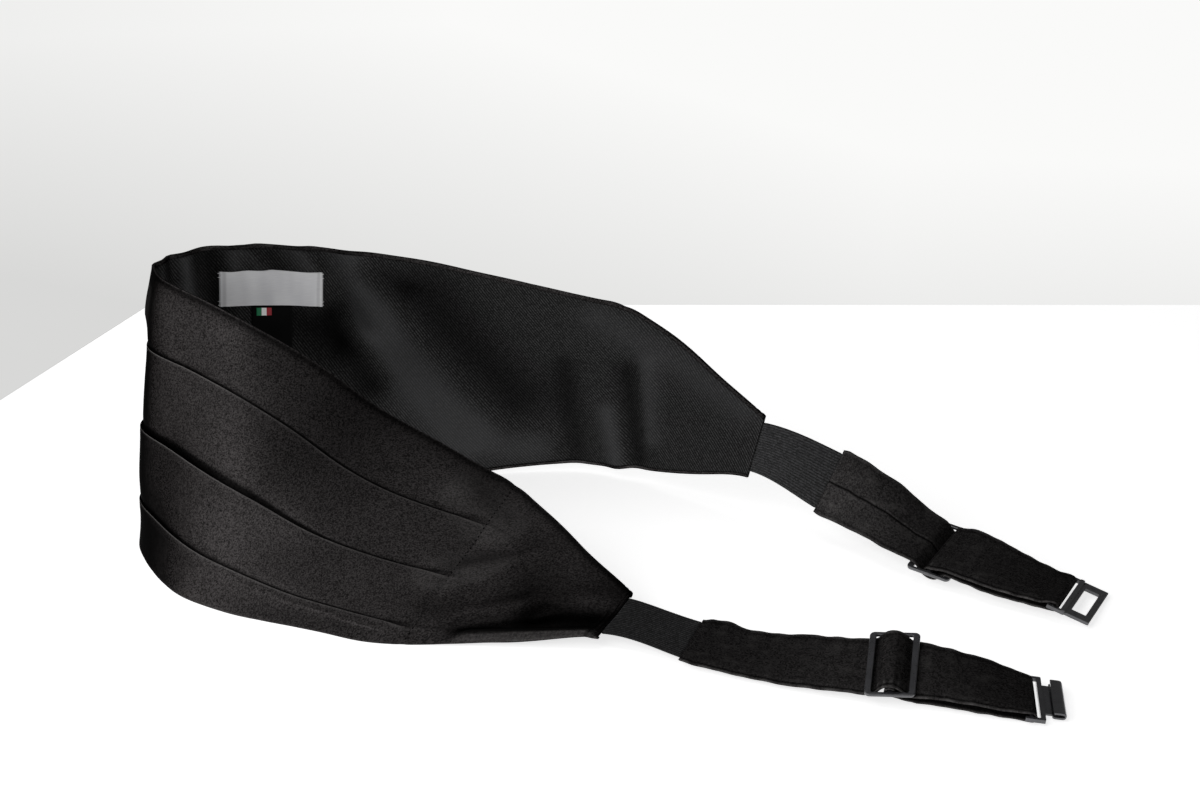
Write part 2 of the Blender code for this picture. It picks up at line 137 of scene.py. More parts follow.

# The pleats, as heights above the lower edge at the centre and at the stitch line. lip is how far a fold
# stands off the band above it and gap the slot behind it, darkened by painted shade, which opens by more
# round one place. slot is how deep the slot goes, and level how far along the pleat has come down to its
# height at the stitch line.
Pleat = namedtuple("Pleat", "name centre stitch lip gap slot more more_at more_wide level")
PLEATS = (
    Pleat("low", 22.0, 8.6, 0.5, 0.15, 3.0, 0.3, -60.0, 40.0, 1.0),
    Pleat("middle", 56.5, 40.4, 0.5, 0.55, 6.0, 1.8, -90.0, 58.0, 0.8),
    Pleat("high", 94.5, 73.8, 0.5, 0.2, 5.0, 0.8, -165.0, 42.0, 0.8),
)

# Soft folds, each a ridge (plus) or trough (minus) between two points of the flat cloth
Fold = namedtuple("Fold", "along_a height_a along_b height_b wide rise")
FOLDS = (
    # Near arm and end panel
    Fold(-18, 100, -26, 40, 26, 2.6),
    Fold(-150, 60, -196, 12, 22, 1.6),
    Fold(-238, 62, -262, 34, 12, -1.4),
    Fold(-204, 86, -232, 66, 9, 1.2),
    Fold(-214, 40, -246, 56, 8, 1.1),
    Fold(-222, 22, -250, 34, 7, -0.9),
    Fold(-236, 12, -262, 18, 6, -1.5),
    Fold(-264, 20, -285, 18, 8, -2.3),
    Fold(-240, 5, -288, 3, 3, 1.7),
    # Sharp little creases where the top edge turns at the bend
    Fold(-11, 134, -13, 108, 5, 2.0),
    Fold(-6, 127, -2, 112, 3, -1.0),
    Fold(1, 131, 4, 118, 3, 1.2),
    Fold(9, 128, 13, 96, 6, -1.5),
    Fold(21, 126, 24, 98, 6, 2.0),
    Fold(32, 128, 33, 118, 4, -1.1),
    Fold(36, 130, 46, 116, 3.2, -1.4),
    Fold(41, 128, 52, 113, 5, 1.3),
    Fold(60, 127, 69, 113, 6, -1.1),
    Fold(68, 126, 73, 113, 3, 0.9),
    # Slow folds of the far arm
    Fold(60, 92, 80, 76, 9, 1.6),
    Fold(85, 124, 99, 85, 8, -1.8),
    Fold(99, 85, 142, 30, 15, -2.0),
    Fold(80, 92, 98, 58, 9, 2.2),
    Fold(92, 113, 112, 104, 7, 1.3),
    Fold(124, 98, 168, 42, 18, 1.9),
    Fold(150, 20, 175, 12, 12, -1.2),
    Fold(190, 62, 198, 6, 7, 1.5),
    Fold(212, 36, 219, 2, 5, -1.5),
    Fold(220, 60, 229, 6, 6, 1.8),
    Fold(230, 66, 235, 20, 6, -1.1),
    Fold(205, 94, 284, 40, 9, -0.9),
)

# One strap: where its slider's middle bar and its clasp's bar lie, as lengths along the sash, the degrees
# that the clasp hangs down from the strap, and how far in from the first layer the layer that comes back lies
Strap = namedtuple("Strap", "side slider clasp hang drop")
HOOK_STRAP = Strap(-1, 422.0, 481.6, 3.0, 3.3)
EYE_STRAP = Strap(1, 395.0, 455.5, 9.0, 2.7)

# The run of one strap beside its slider: distance from the middle bar, and how far it stands off
SLIDER_RUN = ((-16.0, 0.0), (-9.5, -0.3), (-6.8, 0.5), (-4.4, 3.1), (-2.4, 4.6), (0.0, 5.1), (2.4, 4.6),
              (4.4, 3.1), (6.8, 0.5), (9.5, -0.3), (16.0, 0.0))

SIDES = {-1: "hook_side", 1: "eye_side"}

# How far in from the end the two machine rows beside each elastic run, and the length from stitch to stitch
END_ROWS = (2.2, 4.6)
STITCH_PITCH = 2.4

# Where the labels lie on the lining, as lengths from the centre front and distances down from the top edge
Place = namedtuple("Place", "along below_top")
LABEL = Place((27.2, 74.2), (12.6, 29.6))
CARE_LABEL = Place((41.6, 60.1), (30.0, 79.6))
FLAG = Place((43.7, 50.5), (30.9, 34.7))

# The table: its far left corner, the way of its left edge and how far it goes on, in mm. It glows a little, a
# painted light that fills the shadows on it.
TABLE_CORNER = (-264.2, 370.7)
TABLE_LEFT_WAY = (-57.0, -146.0)
TABLE_LEFT_LENGTH = 14
TABLE_REACH = (3000.0, -1700.0)
TABLE_TOP = -0.05
TABLE_GLOW = 0.74

# The wall from its left to its right side, and the ceiling from the horizon up
WALL = ("#d8d8d7", "#fafaf9")
HORIZON = "#767676"
CEILING = "#3f3f3f"

# Large soft lights in front, at the left and above: places, aims and sizes in metres, power in watts
SoftBox = namedtuple("SoftBox", "name place aim size power")
SOFT_BOXES = (
    SoftBox("front", (-1.0, -1.1, 1.0), (0.0, 0.0, 0.05), (1.5, 1.2), 11.0),
    SoftBox("left", (-1.5, 0.25, 0.7), (-0.1, 0.0, 0.05), (1.2, 1.2), 6.0),
    SoftBox("top", (-0.3, 0.1, 1.6), (0.0, 0.0, 0.0), (0.9, 0.9), 3.0),
)

# The camera: its place in mm, its turn up from straight down in degrees, and its lens on film of this width
CAMERA_PLACE = (-6.15, -1166.23, 561.91)
CAMERA_TILT = 68.0
CAMERA_LENS = 85.65
FILM_WIDTH = 36.0


# ---- the sash's form -------------------------------------------------------------------------------------

def pattern_height(along):
    """The sash's height at a length from the centre front: a slow curve to the stitch line, then a taper."""
    q = np.abs(along)
    curved = CENTRE_HEIGHT - (CENTRE_HEIGHT - STITCH_HEIGHT) * np.minimum(q / STITCH_LINE, 1.0) ** 1.6
    taper = (STITCH_HEIGHT - END_HEIGHT) / (HALF_LENGTH - STITCH_LINE)
    past = np.clip(q - STITCH_LINE + 8.0, 0.0, None)
    rounded = np.where(past < 16.0, past ** 2 / 32.0, past - 8.0)
    return np.maximum(curved - taper * rounded, END_HEIGHT)


def natural_curve(knots, values, at):
    """A smooth cubic curve through the values at the knots, straight at its ends."""
    step = np.diff(knots)
    slope = np.diff(values, axis=0) / step[:, None]
    size = len(knots)
    matrix = np.eye(size)
    right = np.zeros_like(values)
    for i in range(1, size - 1):
        matrix[i, i - 1: i + 2] = step[i - 1], 2 * (step[i - 1] + step[i]), step[i]
        right[i] = 6 * (slope[i] - slope[i - 1])
    bend = np.linalg.solve(matrix, right)
    i = np.clip(np.searchsorted(knots, at) - 1, 0, size - 2)
    h = step[i][..., None]
    a = (at - knots[i])[..., None]
    b = (knots[i + 1] - at)[..., None]
    return ((bend[i] * b ** 3 + bend[i + 1] * a ** 3) / (6 * h)
            + (values[i] / h - bend[i] * h / 6) * b + (values[i + 1] / h - bend[i + 1] * h / 6) * a)


def fold_rise(along, height, widest=100):
    """How far the folds up to a width raise the cloth."""
    total = np.zeros(np.broadcast(along, height).shape)
    for fold in (fold for fold in FOLDS if fold.wide <= widest):
        start = np.array([fold.along_a, fold.height_a], float)
        way = np.array([fold.along_b, fold.height_b], float) - start
        x = along - start[0]
        y = height - start[1]
        t = np.clip((x * way[0] + y * way[1]) / (way @ way), 0, 1)
        gap = (x - t * way[0]) ** 2 + (y - t * way[1]) ** 2
        total = total + fold.rise * np.exp(-gap / fold.wide ** 2)
    return total


def lower_edge(along):
    """The lower edge of the cloth, never under the table, and the way up from it."""
    table = np.array(SECTIONS, float)
    row = natural_curve(table[:, 0], table[:, 1:], along)
    foot = row[..., :3] - BASE_MIDDLE
    foot[..., 2] = np.maximum(foot[..., 2], 0.0)
    return foot, row[..., 3:] / np.linalg.norm(row[..., 3:], axis=-1, keepdims=True)


def middle(along, height):
    """The middle of the cloth, without its thickness."""
    foot, up = lower_edge(along)
    return foot + up * height[..., None]


def facing(form, along, height, step=0.5):
    """The outward direction of a form of (along, height)."""
    d_along = form(along + step, height) - form(along - step, height)
    d_height = form(along, height + step) - form(along, height - step)
    out = np.cross(d_height, d_along)
    return out / np.linalg.norm(out, axis=-1, keepdims=True)


def creased(along, height):
    """The middle of the cloth with its folds."""
    plain = middle(along, height)
    out = facing(middle, along, height)
    return plain + out * fold_rise(along, height)[..., None]


def cloth(along, height, out):
    """A point of the sash in mm, from its length along from the centre front, its height above the lower edge
    and its distance outward."""
    along, height, out = np.broadcast_arrays(*(np.asarray(v, float) for v in (along, height, out)))
    normal = facing(creased, along, height)
    points = creased(along, height) + normal * out[..., None]
    # The foot is cut level where it stands on the table
    foot, up = lower_edge(along)
    lift = foot[..., 2]
    level = np.clip(1 - lift / 2, 0, 1) * np.clip(1 - height / 8, 0, 1)
    slide = (lift + height * up[..., 2] - points[..., 2]) / np.maximum(up[..., 2], 0.35) * level
    return points + up * slide[..., None]


def waves(at, *rows):
    """A sum of sines, each (length in mm, size, shift), for the slow unevenness of cloth."""
    return sum(size * np.sin(2 * math.pi * at / length + shift) for length, size, shift in rows)


def bell(at, middle, wide):
    """1 at the middle, falling softly away on both sides."""
    return np.exp(-((at - middle) / wide) ** 2)


def smooth(a, b, at):
    """From 0 at a to 1 at b, without a corner."""
    t = np.clip((at - a) / (b - a), 0, 1)
    return t * t * (3 - 2 * t)


def steps(start, end, size):
    """Even steps of about one size from start to end."""
    return np.linspace(start, end, max(2, round(abs(end - start) / size) + 1))


# ---- meshes ----------------------------------------------------------------------------------------------

def mesh_object(name, points, faces, lie, material, smooth_faces=True, shade=None):
    """A mesh in metres. lie holds each point's place on the flat cloth in mm, kept as its texture map. shade
    is painted light: 1 for a painted highlight on an edge or ridge and -1 for painted shade deep in a tuck or
    hollow."""
    mesh = bpy.data.meshes.new(name)
    mesh.from_pydata((np.asarray(points) * MM).tolist(), [], faces)
    mesh.update()
    if lie is not None:
        at = mesh.uv_layers.new(name="cloth")
        corner = np.empty(len(mesh.loops), np.int64)
        mesh.loops.foreach_get("vertex_index", corner)
        at.data.foreach_set("uv", (np.asarray(lie, np.float32) * MM)[corner].ravel())
    if shade is not None:
        # The shade attribute holds the painted highlights and painted shade that the materials mix in
        wear_and_painted_light = mesh.attributes.new("shade", "FLOAT", "POINT")
        wear_and_painted_light.data.foreach_set("value", np.asarray(shade, np.float32).ravel())
    obj = bpy.data.objects.new(name, mesh)
    bpy.context.collection.objects.link(obj)
    obj.data.materials.append(material)
    if smooth_faces:
        mesh.polygons.foreach_set("use_smooth", [True] * len(mesh.polygons))
    return obj


def face_out(obj):
    """Turns all of a closed mesh's faces outward."""
    form = bmesh.new()
    form.from_mesh(obj.data)
    bmesh.ops.recalc_face_normals(form, faces=form.faces)
    form.to_mesh(obj.data)
    form.free()
    return obj


def grid_faces(rows, columns, start=0, closed=False):
    """The four-sided faces of a grid of points, joined round when closed."""
    i, j = np.meshgrid(np.arange(rows - 1), np.arange(columns if closed else columns - 1), indexing="ij")
    k = (j + 1) % columns
    quads = np.stack([i * columns + j, i * columns + k, (i + 1) * columns + k, (i + 1) * columns + j], -1)
    return (quads.reshape(-1, 4) + start).tolist()


def ring_loft(name, rings, lie, material, shade=None):
    """A closed wall through closed rings with flat ends."""
    count, size = rings.shape[:2]
    faces = grid_faces(count, size, closed=True)
    faces.append(list(range(size))[::-1])
    faces.append(list(range((count - 1) * size, count * size)))
    return face_out(mesh_object(name, rings.reshape(-1, 3), faces, lie.reshape(-1, 2), material, shade=shade))


def shell(name, outer, inner, lie, material, shade=None):
    """A thin closed wall between two grids of points, joined round its edge through a rounded rim."""
    rows, columns = outer.shape[:2]
    size = rows * columns
    faces = grid_faces(rows, columns) + grid_faces(rows, columns, size)
    edge = ([(0, j) for j in range(columns)] + [(i, columns - 1) for i in range(1, rows)]
            + [(rows - 1, j) for j in range(columns - 2, -1, -1)] + [(i, 0) for i in range(rows - 2, 0, -1)])
    index = np.array([i * columns + j for i, j in edge])
    rim = (outer.reshape(-1, 3)[index] + inner.reshape(-1, 3)[index]) / 2
    inward = np.array([(min(max(i, 1), rows - 2)) * columns + min(max(j, 1), columns - 2) for i, j in edge])
    away = rim - (outer.reshape(-1, 3)[inward] + inner.reshape(-1, 3)[inward]) / 2
    away /= np.maximum(np.linalg.norm(away, axis=1, keepdims=True), 1e-9)
    wall = np.linalg.norm(outer.reshape(-1, 3)[index] - inner.reshape(-1, 3)[index], axis=1, keepdims=True)
    rim = rim + away * wall * RIM_SHARE
    count = len(index)
    for a in range(count):
        b = (a + 1) % count
        faces.append([int(index[a]), int(index[b]), 2 * size + b, 2 * size + a])
        faces.append([2 * size + a, 2 * size + b, int(index[b]) + size, int(index[a]) + size])
    points = np.concatenate([outer.reshape(-1, 3), inner.reshape(-1, 3), rim])
    flat = lie.reshape(-1, 2)
    if shade is not None:
        shade = np.concatenate([shade[0].ravel(), shade[1].ravel(), shade[0].ravel()[index]])
    flat = np.concatenate([flat, flat, flat[index]])
    return face_out(mesh_object(name, points, faces, flat, material, shade=shade))


def rounded(points, times=2):
    """An open line with its corners cut off, which turns sharp folds into soft ones."""
    for _ in range(times):
        a, b = points[:-1], points[1:]
        cut = np.stack([0.75 * a + 0.25 * b, 0.25 * a + 0.75 * b], 1).reshape(-1, points.shape[1])
        points = np.concatenate([points[:1], cut, points[-1:]])
    return points


# ---- materials -------------------------------------------------------------------------------------------

COLOURS = {"data_type": "RGBA"}


def linear(code):
    """An sRGB hex colour as the linear values that a shader takes."""
    parts = [int(code[i: i + 2], 16) / 255 for i in (1, 3, 5)]
    return [c / 12.92 if c <= 0.04045 else ((c + 0.055) / 1.055) ** 2.4 for c in parts] + [1.0]


def set_input(made, socket, value):
    """A socket takes a value, a hex colour or the output that is linked into it."""
    if isinstance(value, bpy.types.NodeSocket):
        made.node_tree.links.new(value, socket)
    else:
        socket.default_value = linear(value) if isinstance(value, str) else value


def add(made, kind, settings=(), give=None, **inputs):
    """Adds a node to a material or world: its own settings, and its sockets by name, with a list for sockets
    that share one. Gives the output named, or else the first."""
    node = made.node_tree.nodes.new("ShaderNode" + kind)
    for key, value in dict(settings).items():
        setattr(node, key, value)
    for key, value in inputs.items():
        name = key.replace("_", " ")
        sockets = [socket for socket in node.inputs if socket.enabled and socket.name == name]
        for socket, part in zip(sockets, value if isinstance(value, list) else [value]):
            set_input(made, socket, part)
    live = [socket for socket in node.outputs if socket.enabled]
    return next((socket for socket in live if socket.name == give), live[0])


def dress(made, shader, **inputs):
    """Sets or links the shader's sockets by name."""
    for key, value in inputs.items():
        set_input(made, shader.inputs[key.replace("_", " ")], value)


def surface(name, colour, roughness, **inputs):
    """A new material: its Principled shader with its sockets set, and the cloth's flat place in metres."""
    made = bpy.data.materials.new(name)
    made.use_nodes = True
    shader = made.node_tree.nodes["Principled BSDF"]
    dress(made, shader, Base_Color=colour, Roughness=roughness, **inputs)
    return made, shader, add(made, "UVMap", {"uv_map": "cloth"})


def repeats(x_mm, y_mm):
    """The scale that counts a place in metres in pattern repeats of the given sizes."""
    return 1000 / x_mm, 1000 / y_mm, 1.0


def grain(made, place, x_mm, y_mm, dark, pale):
    """Threads that catch the light unevenly: crisp specks of the given size between two shades, some of them
    gathered in soft spots. Gives the colour and the spots."""
    at = add(made, "Mapping", Vector=place, Scale=repeats(x_mm, y_mm))
    spots = add(made, "TexNoise", Vector=at, Scale=0.6, Detail=2.0, Roughness=0.7)
    spread = add(made, "MapRange", Value=spots, From_Min=0.3, From_Max=0.7)
    cells = add(made, "VectorMath", {"operation": "FLOOR"}, Vector=at)
    specks = add(made, "TexWhiteNoise", {"noise_dimensions": "2D"}, Vector=cells)
    share = add(made, "Mix", Factor=0.3, A=specks, B=spread)
    return add(made, "Mix", COLOURS, Factor=share, A=dark, B=pale), spots


def shaded(made, colour, pale, dark):
    """Painted light, as the mesh's shade says: a painted highlight on edges and ridges, painted shade inside
    tucks and hollows.
    """
    shade = add(made, "Attribute", {"attribute_name": "shade"}, give="Fac")
    # A painted highlight where shade is over 0, painted shade where it is under 0
    wear_and_painted_light = add(made, "MapRange", Value=shade, To_Max=0.85)
    painted_shade_share = add(made, "MapRange", Value=shade, From_Max=-1.0, To_Max=0.93)
    colour = add(made, "Mix", COLOURS, Factor=wear_and_painted_light, A=colour, B=pale)
    return add(made, "Mix", COLOURS, Factor=painted_shade_share, A=colour, B=dark)


def deeper_aslant(made, colour):
    """Darker where the cloth is seen aslant, as its threads hide each other's shine."""
    aslant = add(made, "LayerWeight", give="Facing", Blend=0.5)
    share = add(made, "MapRange", Value=aslant, From_Min=0.25, From_Max=0.66, To_Max=0.9)
    return add(made, "Mix", COLOURS, Factor=share, A=colour, B="#050505")


def satin_weave():
    """Silk satin, woven with long floats and pressed: soft black with a fine speckled grain and a broad, weak
    shine that dies away at a glance, since the floats lie like fine wires."""
    made, shader, place = surface("woven satin, pressed", "#2a2828", 0.46, Metallic=0.85, IOR=1.06,
                                  Anisotropic=0.3, Specular_Tint="#101010")
    # Floats lie about 0.1 mm apart; the specks they make together are about 0.5 mm across
    colour, spots = grain(made, place, 0.55, 0.5, "#0a0909", "#4e4b4b")
    # Patches of about 60 by 28 mm are pressed smoother or less so
    at = add(made, "Mapping", Vector=place, Scale=repeats(60.0, 28.0))
    pressed = add(made, "TexNoise", Vector=at, Scale=1.0, Detail=2.0)
    # Painted highlight and painted shade from the mesh's shade, towards #7a7877 and #020202
    dress(made, shader,
          Base_Color=shaded(made, deeper_aslant(made, colour), "#7a7877", "#020202"),
          Roughness=add(made, "MapRange", Value=pressed, To_Min=0.4, To_Max=0.54),
          Normal=add(made, "Bump", Height=spots, Strength=0.3, Distance=0.1 * MM),
          Tangent=add(made, "Tangent", {"direction_type": "UV_MAP", "uv_map": "cloth"}))
    return made


def lining_twill():
    """Lining twill, calendered: neutral black with narrow diagonal ribs, a painted highlight on its folds and
    painted shade in its hollows.
    """
    made, shader, place = surface("lining twill, calendered", "#201f1f", 0.4, Metallic=0.6, IOR=1.15,
                                  Specular_Tint="#202020")
    # Ribs lie about 0.6 mm apart; drawn 1.15 mm apart so that they show
    at = add(made, "Mapping", Vector=place, Scale=repeats(1.15, 1.15), Rotation=(0, 0, math.radians(-36)))
    ribs = add(made, "TexWave", {"bands_direction": "X"}, give="Fac", Vector=at, Scale=math.tau / 20,
               Distortion=0.8, Detail=1.0)
    specks, _ = grain(made, place, 0.6, 0.6, "#1c1c1c", "#484848")
    colour = add(made, "Mix", COLOURS, Factor=ribs, A="#161616", B=specks)
    # Painted highlight and painted shade from the mesh's shade
    dress(made, shader,
          Base_Color=shaded(made, colour, "#484849", "#050505"),
          Normal=add(made, "Bump", Height=ribs, Strength=0.4, Distance=0.15 * MM))
    return made


def ribbed_elastic():
    """Woven elastic of covered rubber cords: matt dark grey, its ribs speckled by the covering thread, and
    black between them with painted shade in the grooves."""
    made, shader, place = surface("woven elastic", "#2e2e2e", 0.8, IOR=1.15)
    # One rib to each cord, with specks of its covering thread about 0.5 mm across
    rib = ELASTIC_WIDTH / ELASTIC_RIBS * MM
    # Painted shade: black in the groove between two ribs
    up = add(made, "SeparateXYZ", give="Y", Vector=place)
    from_groove = add(made, "Math", {"operation": "PINGPONG"}, Value=[up, rib / 2])
    depth = add(made, "MapRange", Value=from_groove, From_Max=rib / 4)
    colour, spots = grain(made, place, 0.6, 0.5, "#1e1e1e", "#4a4a4b")
    dress(made, shader,
          Base_Color=add(made, "Mix", COLOURS, Factor=depth, A="#141414", B=colour),
          Normal=add(made, "Bump", Height=spots, Strength=0.5, Distance=0.15 * MM))
    return made


def strap_satin():
    """The same satin sewn double into a narrow strap and handled: duller, with faint rubbed patches."""
    made, shader, place = surface("woven satin, sewn double", "#222121", 0.5, Metallic=0.7, IOR=1.08,
                                  Specular_Tint="#101010")
    colour, spots = grain(made, place, 0.6, 0.55, "#121111", "#474545")
    # Rubbed patches of about 7 mm, a little paler
    at = add(made, "Mapping", Vector=place, Scale=repeats(9.0, 6.0))
    patches = add(made, "TexNoise", Vector=at, Scale=1.0, Detail=4.0, Roughness=0.65)
    wear_and_painted_light = add(made, "MapRange", Value=patches, From_Min=0.52, From_Max=0.75, To_Max=0.55)
    colour = add(made, "Mix", COLOURS, Factor=wear_and_painted_light, A=colour, B="#565453")
    both = add(made, "Math", {"operation": "ADD"}, Value=[spots, patches])
    # Painted highlight and painted shade from the mesh's shade
    dress(made, shader,
          Base_Color=shaded(made, colour, "#7a7877", "#030303"),
          Normal=add(made, "Bump", Height=both, Strength=0.4, Distance=0.3 * MM))
    return made


def painted_steel():
    """Pressed steel, stove-enamelled black: dark grey with small bright glints, rubbed lighter in places."""
    made, shader, _ = surface("stove-enamelled steel", "#2b2b2c", 0.3, Metallic=0.5, IOR=1.5, Coat_Weight=1.0,
                              Coat_Roughness=0.08)
    where = add(made, "TexCoord", give="Object")
    # Orange peel of the enamel, about 1 mm across, and rubbed patches of about 6 mm
    peel = add(made, "TexNoise", Vector=where, Scale=1000.0, Detail=2.0)
    wear_and_painted_light = add(made, "TexNoise", Vector=where, Scale=160.0, Detail=3.0)
    dress(made, shader,
          Base_Color=add(made, "Mix", COLOURS, Factor=wear_and_painted_light, A="#323234", B="#56565a"),
          Roughness=add(made, "MapRange", Value=peel, To_Min=0.2, To_Max=0.42),
          Normal=add(made, "Bump", Height=peel, Strength=0.1, Distance=0.1 * MM))
    return made


def label_satin():
    """Narrow woven polyester satin: silver-grey, with fine lines along it and a soft shine."""
    made, shader, place = surface("label satin, woven narrow", "#f4f4f5", 0.4, Sheen_Weight=0.3,
                                  Anisotropic=0.4)
    # Threads 0.35 mm apart, and slow bands across it, where it shines more and less
    at = add(made, "Mapping", Vector=place, Scale=repeats(5.0, 0.35))
    lines = add(made, "TexNoise", Vector=at, Scale=1.0, Detail=3.0)
    at = add(made, "Mapping", Vector=place, Scale=repeats(9.0, 30.0))
    bands = add(made, "TexNoise", Vector=at, Scale=1.0, Detail=1.0)
    silver = add(made, "Mix", COLOURS, Factor=bands, A="#d2d2d5", B="#ffffff")
    fine = add(made, "Mix", COLOURS, Factor=lines, A="#e6e6e8", B="#ffffff")
    both = add(made, "Mix", {**COLOURS, "blend_type": "MULTIPLY"}, Factor=1.0, A=silver, B=fine)
    # Painted shade at the folded ends, from the mesh's shade
    dress(made, shader,
          Base_Color=shaded(made, both, "#ffffff", "#3a3a3c"),
          Normal=add(made, "Bump", Height=lines, Strength=0.3, Distance=0.1 * MM))
    return made


def plain_ribbon():
    """Coated nylon ribbon: flat black with a slight waxy shine."""
    made, shader, place = surface("nylon ribbon, coated", "#0d0d0d", 0.5, IOR=1.12)
    at = add(made, "Mapping", Vector=place, Scale=repeats(0.5, 0.5))
    weave = add(made, "TexNoise", Vector=at, Scale=1.0, Detail=1.0)
    dress(made, shader,
          Base_Color=add(made, "Mix", COLOURS, Factor=weave, A="#050505", B="#0d0d0d"),
          Normal=add(made, "Bump", Height=weave, Strength=0.2, Distance=0.1 * MM))
    return made


def flag_print():
    """Three upright stripes printed on the ribbon: green, white and red ink."""
    made, shader, place = surface("printed flag ink", "#d8d8d6", 0.55)
    start, end = FLAG.along
    across = add(made, "SeparateXYZ", give="X", Vector=place)
    part = add(made, "MapRange", Value=across, From_Min=start * MM, From_Max=end * MM)
    stripes = add(made, "ValToRGB", Fac=part)
    bands = stripes.node.color_ramp
    bands.interpolation = "CONSTANT"
    bands.elements[0].color = linear("#0f7a4e")
    bands.elements[1].position = 1 / 3
    bands.elements[1].color = linear("#fbfbf9")
    bands.elements.new(2 / 3).color = linear("#a81a28")
    dress(made, shader, Base_Color=stripes)
    return made


def sewing_thread():
    """Spun polyester thread: black, round and a little glossier than the cloth."""
    made, shader, _ = surface("spun polyester thread", "#0a0a0a", 0.6, IOR=1.1)
    where = add(made, "TexCoord", give="Object")
    # The twist of the thread, about 0.4 mm to a turn
    twist = add(made, "TexNoise", Vector=where, Scale=2500.0)
    dress(made, shader, Normal=add(made, "Bump", Height=twist, Strength=0.3, Distance=0.1 * MM))
    return made


SATIN = satin_weave()
TWILL = lining_twill()
ELASTIC = ribbed_elastic()
STRAP_SATIN = strap_satin()
STEEL = painted_steel()
LABEL_SATIN = label_satin()
RIBBON = plain_ribbon()
FLAG_INK = flag_print()
THREAD = sewing_thread()


# ---- satin front -----------------------------------------------------------------------------------------

def pleat_height(pleat, along):
    """How high a pleat's fold runs at one place."""
    high = pattern_height(np.array(float(along)))
    far = min(abs(along) / STITCH_LINE, 1.0) ** 1.6
    at = pleat.centre + (pleat.stitch - pleat.centre) * smooth(0.08, pleat.level, far)
    return float(at * high / (CENTRE_HEIGHT - (CENTRE_HEIGHT - STITCH_HEIGHT) * far))


def front_profile(along):
    """The satin's section at one place as (height, out, shade) points round it, shade being its painted
    light: its outer side with the pleats, the hems rolled over the lining's edges and its hidden inner side."""
    high = float(pattern_height(np.array(along)))
    folded = 1 - float(smooth(STITCH_LINE - 15, STITCH_LINE + 1, abs(along)))
    faded = 1 - float(smooth(STITCH_LINE, STITCH_LINE + 22, abs(along)))
    inner = SEAM_GAP / 2
    base = inner + SATIN_WALL
    back = -SEAM_GAP / 2 - LINING_WALL - 0.1
    hem = min(HEM_WIDTH, high * 0.1)
    # The lower hem, with a faint painted highlight on its rim
    outer = [(hem, back, 0), (hem, back - 0.35, 0), (hem * 0.6, back - 0.38, 0), (0.3, back - 0.3, 0),
             (0.0, back + 0.1, 0), (0.0, inner + 0.3, 0.1), (0.25, base, 0.2), (1.0, base + 0.05, 0),
             (2.4, base + 0.05, 0), (ABOVE_FOLD, base, 0)]
    below = ABOVE_FOLD
    for pleat in PLEATS:
        at = pleat_height(pleat, along)
        uneven = 1 + waves(np.array(along), (74.0, 0.2, pleat.centre), (31.0, 0.1, pleat.slot))
        gap = pleat.gap * uneven + pleat.more * bell(along, pleat.more_at, pleat.more_wide)
        lip = pleat.lip + gap
        ridge = 0.3 * faded
        dark = 0.35 + 0.9 * gap
        # Up the fold's front to its edge, down inside the slot, and back up behind it. The third value is
        # painted
        # light: a painted highlight along the fold's edge, painted shade down the slot and on the band just
        # above it
        folded_points = ((-3.4, lip * 0.9, 0), (-0.75, lip * 0.98, 0), (-0.4, lip + 0.08, 0.45),
                         (0.0, lip - 0.1, 0.5), (-0.3, max(gap, 0.1), -1), (-pleat.slot, gap * 0.7, -1),
                         (-pleat.slot - 0.3, 0.0, -1), (dark, 0.0, -1), (dark + 0.3, 0.05, -0.6),
                         (dark + 1.5, 0.5 * BAND_RISE, 0))
        # Past the stitch line the same points lie flat, with a low ridge that fades away
        flat_points = tuple((-BELOW_FOLD + 0.75 * i, ridge * bell(i, 4, 2.2), 0) for i in range(10))
        band = max(at - below - BELOW_FOLD, 0.5)
        for share in (0.12, 0.35, 0.55, 0.75, 0.92):
            raised = BAND_RISE * (below > 5) * (1 - 0.3 * math.exp(-share / 0.1)) * (1 - share ** 3)
            outer.append((below + band * share, base + (raised + lip * 0.85 * share ** 3) * folded, 0))
        for (h1, o1, s1), (h0, o0, _) in zip(folded_points, flat_points):
            outer.append((at + h0 + (h1 - h0) * folded, base + o0 + (o1 - o0) * folded, s1 * folded ** 0.5))
        below = at + ABOVE_FOLD
    for share, part in ((0.15, 0.9), (0.4, 1.0), (0.65, 0.85), (0.85, 0.4)):
        outer.append((below + (high - 4.6 - below) * share, base + BAND_RISE * part * folded, 0))
    # The top edge: painted shade in a band just under it, a painted highlight on its rim and painted shade on
    # the hem turned in behind it
    outer += [(high - 3.4, base, -0.25), (high - 2.2, base - 0.1, -0.75), (high - 0.7, base - 0.1, -0.85),
              (high - 0.1, base - 0.05, 0.1), (high, inner + 0.3, 0.35), (high, back + 0.1, 0.2),
              (high - 0.3, back - 0.3, -0.2), (high - hem * 0.6, back - 0.38, -0.4),
              (high - hem, back - 0.35, -0.7), (high - hem, back, -0.8)]
    edge = LINING_INSET - 0.25
    backs = [(high - edge, back, 0)]
    backs += [(edge + (high - 2 * edge) * i / BACK_STEPS, inner, 0) for i in range(BACK_STEPS, -1, -1)]
    backs += [(edge, back, 0)]
    return np.concatenate([rounded(np.array(outer)), np.array(backs)])


def pick_stitch_pull(along):
    """The little hollow along the stitch line, where the stitches draw the pleats down."""
    return -0.14 * bell(np.abs(along), STITCH_LINE, 1.6)


def end_seam_pull(along):
    """Each machine row beside the elastic sits in a narrow groove, with the turned-in end full outside it."""
    inward = HALF_LENGTH - np.abs(along)
    return 0.25 * bell(inward, 1.1, 0.7) - 0.28 * sum(bell(inward, row, 0.45) for row in END_ROWS)


